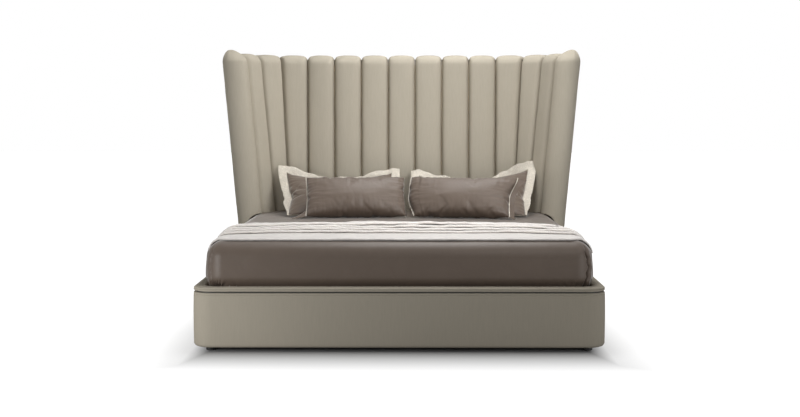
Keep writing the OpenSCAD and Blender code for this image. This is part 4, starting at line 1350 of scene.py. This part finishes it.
def pillow_body(name, w, h, thick, grid, pressure, seed, under, wrinkles, even):
    """A filled body and its seam. Under is the share of its thickness below the seam."""
    body = flat_body(name, w, h, *grid, 0.02)
    flat = points(body)
    inflate(body, flat, pressure, seed)
    fit_body(body, flat, w, h, under * thick, (1 - under) * thick, even)
    seam = Seam(points(body), flat, w, h)
    modify(body, "SUBSURF", levels=1, render_levels=1)
    gather_in(body, w, h, wrinkles, seed + 2)
    return body, seam


def rest_on_line(co, total, low, high):
    """Bends a flat pillow along its line of rest, whose slopes at its front and far edge are
    in radians."""
    d = total / 2 + co[:, 1]
    turn = (high - low) * d / total
    middle, slope = low + turn / 2, low + turn
    return np.stack([co[:, 0], d * np.cos(middle) - co[:, 2] * np.sin(slope),
                     d * np.sin(middle) + co[:, 2] * np.cos(slope)], 1)


def seat(piece, side, turn, middle, front_y, body):
    """Puts a pillow beside the middle, its outer end turned forward, and sets it down on the
    sheet. Its first points are its body's, the others its borders'."""
    co = points(piece)
    co[:, 0] += side * middle
    a = -side * math.radians(turn)
    x = co[:, 0] * math.cos(a) - co[:, 1] * math.sin(a)
    y = co[:, 0] * math.sin(a) + co[:, 1] * math.cos(a)
    co[:, 0], co[:, 1] = x + PILLOWS_X, y + front_y + FOOT_Y
    tree = surface(bpy.data.objects["satin_sheet"])
    room = []
    for x, y, z in co[:body]:
        ground = below(tree, x, y, 2)
        room.append(z - (0.4 if ground is None else ground))
    co[:, 2] += REST_GAP - min(room)
    for place in co[body:]:
        ground = below(tree, place[0], place[1], 2)
        if ground is not None and place[2] < ground + 0.002:
            place[2] = ground + 0.002 + 0.1 * (ground - place[2])
    set_points(piece, co)


def keep_clear(piece, others, gap):
    """Moves points that lie in or too near other pieces out of them."""
    co = points(piece)
    for other in others:
        tree = surface(other)
        low, high = points(other).min(0) - gap, points(other).max(0) + gap
        for i in np.nonzero(((co > low) & (co < high)).all(1))[0]:
            place, normal, _, distance = tree.find_nearest(Vector(co[i]))
            away = Vector(co[i]) - place
            if away.dot(normal) < -0.8 * distance:
                co[i] += np.array(normal) * (gap + distance)
            elif distance < gap:
                co[i] += np.array(away.normalized()) * (gap - distance)
    set_points(piece, co)


def join(pieces, name):
    pick(pieces[0])
    for other in pieces[1:]:
        other.select_set(True)
    bpy.ops.object.join()
    pieces[0].name = pieces[0].data.name = name
    return pieces[0]


def strip(name, share, width, offset):
    """Flat doubled cloth sewn to a seam. The offset of a point is given by where it lies
    round the seam and how far out."""
    columns, rows = len(share), 2 * STRIP_ROWS
    closed = abs(share[-1] - share[0]) > 3.9
    count = columns if closed else columns - 1

    def place(u, v):
        column, row = cell(u, v, count, rows)
        column, row = column % columns if closed else column, row % rows
        out = np.where(row <= STRIP_ROWS, row, rows - row) / STRIP_ROWS
        face = np.where((row > 0) & (row < STRIP_ROWS), 1, np.where(row > STRIP_ROWS, -1, 0))
        return offset(share[column], out * width, out, face * STRIP_T)
    return close_up(woven(name, count, rows, place), holes=not closed)


class BED_OT_shams(bpy.types.Operator):
    """Makes the two large pillows with crinkled borders"""
    bl_idname = "bed.shams"
    bl_label = "Shams"

    def execute(self, context):
        self.sham(-1, "left", 0.640, 0.0003, 39.4, 41.0)
        self.sham(1, "right", 0.660, 0.010, 35.6, 44.7)
        return {"FINISHED"}

    def sham(self, side, word, w, aside, inner, outer):
        """One sham. Inner and outer are the slopes, in degrees, of its upper corners."""
        h, border = SHAM_H, SHAM_BORDER
        body, seam = pillow_body(f"sham_{word}_body", w, h, SHAM_T, (50, 42), 5.0, 71 + side,
                                 0.27, 0.0032, 0.45)

        def border_place(share, e, out, lift):
            k = np.floor(share % 4).astype(int)
            lower, upper = k == 0, k == 2
            t = share % 4 - k
            from_corner = np.minimum(t, 1 - t) * np.where(k % 2 == 0, w, h)
            slip = np.maximum(0, 1 - from_corner / border) * np.where(t > 0.5, 1, -1)
            way = np.array([(0, -1), (1, 0), (0, 1), (-1, 0)])[k]
            along = np.array([(1, 0), (0, 1), (-1, 0), (0, -1)])[k]
            co = seam.at(share)
            height = np.clip(co[:, 1] / h + 0.5, 0, 1)
            e = e * np.where(upper, 1.0, np.where(lower, 0.2, 0.2 + 0.8 * ramp(height, 0.02, 0.45)))
            co[:, :2] += (way + along * slip[:, None]) * e[:, None]
            ring = (co[:, 0], co[:, 1], 0)
            high = ramp(height, 0.75, 1.0)
            wave = ripple(ring, (0.13, 0.3, 1), 81 + side) * LONG_WAVE \
                + ripple(ring, (0.05, 0.08, 1), 83) * SHORT_WAVE
            crinkle = ripple(ring, (0.016, 0.016, 1), 87 + side) * CRINKLE
            outwards = np.where(side * co[:, 0] > 0, TIP_OUT, TIP_IN)
            tip = np.maximum(0, 1 - from_corner / 0.12) ** 1.5 * outwards * high
            away = ramp(from_corner, 0, 0.06)
            stand = 0.10 * high + away * np.where(upper, 0.40, 0)
            co[:, 2] += out ** 1.2 * (wave * (0.25 + 0.75 * high) + tip) \
                + crinkle * np.minimum(1, out * 3) + lift
            co[:, 2] += stand * e
            folded = np.where(lower, 0.8 * e, 0)
            co[:, 1] += np.where(lower, 1.8 * e, 0)
            co[:, 2] -= 0.031 * np.sqrt(np.clip(1 - (1 - 2 * folded / h) ** 2, 0, 1))
            co[:, 1] -= np.where(upper, 0.12 * e * away, 0)
            return co

        share = np.linspace(0, 4, 4 * 84, endpoint=False)
        edge = strip(f"sham_{word}_border", share, border, border_place)
        paint(body, "Satin")
        paint(edge, "Border")
        count = len(body.data.vertices)
        sham = join([body, edge], f"sham_{word}_pillow")
        co = points(sham)
        outwards = side * np.clip(2 * co[:, 0] / w, -1, 1)
        far = inner + (outer - inner) * (1 + outwards) / 2 - SHAM_SAG * (1 - outwards ** 2)
        lower = 1 - np.clip(co[:, 1] / h + 0.5, 0, 1)
        co[:, 0] *= 1 - 0.10 * lower * np.clip(outwards, 0, 1)
        slopes = math.radians(SHAM_SLOPE), np.radians(far)
        set_points(sham, rest_on_line(co, h + 2 * border, *slopes))
        seat(sham, side, 3, w / 2 + border + aside, SHAM_FRONT, count)
        near = [o for o in bpy.context.scene.objects
                if o.name.startswith("channel_") and o.name.endswith("_pad")]
        keep_clear(sham, near, 0.002)
        smooth(sham, 75)
        declare(sham, [f"sham_{word}"])


class BED_OT_lumbars(bpy.types.Operator):
    """Makes the two small satin pillows with piped ends"""
    bl_idname = "bed.lumbars"
    bl_label = "Lumbar pillows"

    def execute(self, context):
        self.lumbar(-1, "left", 4, 0.565, 0.270, {-1: "back", 1: "hidden"})
        self.lumbar(1, "right", 9, 0.570, 0.305, {-1: "over", 1: "out"})
        return {"FINISHED"}

    def lumbar(self, side, word, turn, w, middle, folds):
        """One lumbar pillow. The folds say how the cloth beyond each end seam lies."""
        h = LUMBAR_H
        body, seam = pillow_body(f"lumbar_{word}_body", w, h, LUMBAR_T, (56, 28), 7.0, 91 + side,
                                 0.45, 0.0050, 0.6)
        count = len(body.data.vertices)
        tree = surface(body)
        paint(body, "Satin")
        pieces = [body]
        for end, fold in folds.items():
            base = 1 if end > 0 else 3
            share = np.linspace(base + 0.004, base + 0.996, 50)
            edge = strip(f"lumbar_{word}_end", share, LUMBAR_END,
                         self.end_cloth(seam, tree, base, end, fold))
            proud = {"over": (0.0045, 0), "hidden": (-0.004, -0.012)}.get(fold, (0.001, 0))
            cord = self.piping(word, seam.at(share), end, proud)
            paint(edge, "Satin")
            paint(cord, "Piping")
            pieces += [edge, cord]
        lumbar = join(pieces, f"lumbar_{word}_pillow")
        co = points(lumbar)
        v = np.clip(2 * co[:, 1] / h, -1, 1)
        if side > 0:
            left, right = (ramp(way * 2 * co[:, 0] / w, 0.5, 1) for way in (-1, 1))
            co[:, 0] += left * (0.034 * ramp(-v, 0, 1) - 0.014 * (1 - v * v)) \
                + right * 0.036 * ramp(v, 0, 1)
        set_points(lumbar, rest_on_line(co, h, *map(math.radians, LUMBAR_SLOPES)))
        seat(lumbar, side, turn, middle, SHAM_FRONT - LUMBAR_AHEAD, count)
        keep_clear(lumbar, [bpy.data.objects[f"sham_{word}_pillow"]], 0.0015)
        smooth(lumbar, 75)
        declare(lumbar, [f"lumbar_{word}"])

    def end_cloth(self, seam, tree, base, end, fold):
        """Flat cloth beyond an end seam: folded back, folded over the front or left out."""
        def place(share, e, out, lift):
            co = seam.at(share)
            v = (2 * (share % 4 - base) - 1) * end
            wave = ripple((end, co[:, 1], 0), (1, 0.11, 1), 95 + end) * 0.014
            if fold == "over":
                co[:, 0] -= end * e * (1.15 + 0.15 * v * v)
                for point, far in zip(co, out):
                    ground = below(tree, point[0], point[1] * 0.97, 1)
                    if ground is not None:
                        point[2] = max(point[2], ground)
                    point[2] += 0.005 * far ** 0.5
                co[:, 2] += lift + 0.0015 * out * ripple(co, (0.03, 0.04, 1), 99)
                return co
            if fold == "out":
                angle, e = np.radians(-12 + 30 * v), e * (0.70 + 0.20 * v + 0.40 * v * v)
                co[:, 1] -= 0.40 * e * ramp(v, 0.4, 1)
            else:
                flare = ramp(-v, 0.35, 0.95) * (fold == "back")
                angle, e = np.radians(-88 + 80 * flare), e * (1 + 0.8 * flare)
                co[:, 1] -= 0.20 * e * flare
            co[:, 0] += end * e * np.cos(angle)
            co[:, 2] += e * np.sin(angle) + out * wave + lift
            return co
        return place

    def piping(self, word, line, end, proud):
        """A thin cord along an end seam."""
        columns, rows = len(line) - 1, 8

        def place(u, v):
            a = v * 2 * math.pi
            co = line[cell(u, v, columns, rows)[0]]
            co[:, 0] += PIPING_R * np.cos(a) + end * proud[0]
            co[:, 2] += PIPING_R * np.sin(a) + proud[1]
            return co
        return close_up(woven(f"lumbar_{word}_piping", columns, rows, place), holes=True)


OPERATORS = (BED_OT_stage, BED_OT_finishes, BED_OT_base, BED_OT_shells, BED_OT_channels,
             BED_OT_end_rolls, BED_OT_sheet, BED_OT_throw, BED_OT_shams, BED_OT_lumbars)


class BED_PT_panel(bpy.types.Panel):
    """Values of the bed and a button for each step, in the order in which they are made"""
    bl_idname = "BED_PT_panel"
    bl_label = "Bed"
    bl_space_type = "VIEW_3D"
    bl_region_type = "UI"
    bl_category = "Bed"

    def draw(self, context):
        scene = context.scene
        for title, values in (("Sizes", scene.bed_sizes), ("Looks", scene.bed_looks),
                              ("Camera and light", scene.bed_view)):
            box = self.layout.box()
            box.label(text=title)
            for name in values.__annotations__:
                box.prop(values, name)
        steps = self.layout.column(align=True)
        steps.label(text="Steps")
        for operator in OPERATORS:
            steps.operator(operator.bl_idname)


CLASSES = (BedSizes, BedLooks, BedView, *OPERATORS, BED_PT_panel)


def register():
    for cls in CLASSES:
        bpy.utils.register_class(cls)
    bpy.types.Scene.bed_sizes = bpy.props.PointerProperty(type=BedSizes)
    bpy.types.Scene.bed_looks = bpy.props.PointerProperty(type=BedLooks)
    bpy.types.Scene.bed_view = bpy.props.PointerProperty(type=BedView)


def unregister():
    for name in ("bed_view", "bed_looks", "bed_sizes"):
        delattr(bpy.types.Scene, name)
    for cls in reversed(CLASSES):
        bpy.utils.unregister_class(cls)


def main():
    register()
    bpy.ops.bed.stage()
    bpy.ops.bed.finishes()
    bpy.ops.bed.base()
    bpy.ops.bed.shells()
    bpy.ops.bed.channels()
    bpy.ops.bed.end_rolls()
    bpy.ops.bed.sheet()
    bpy.ops.bed.throw()
    bpy.ops.bed.shams()
    bpy.ops.bed.lumbars()


if __name__ == "__main__":
    main()
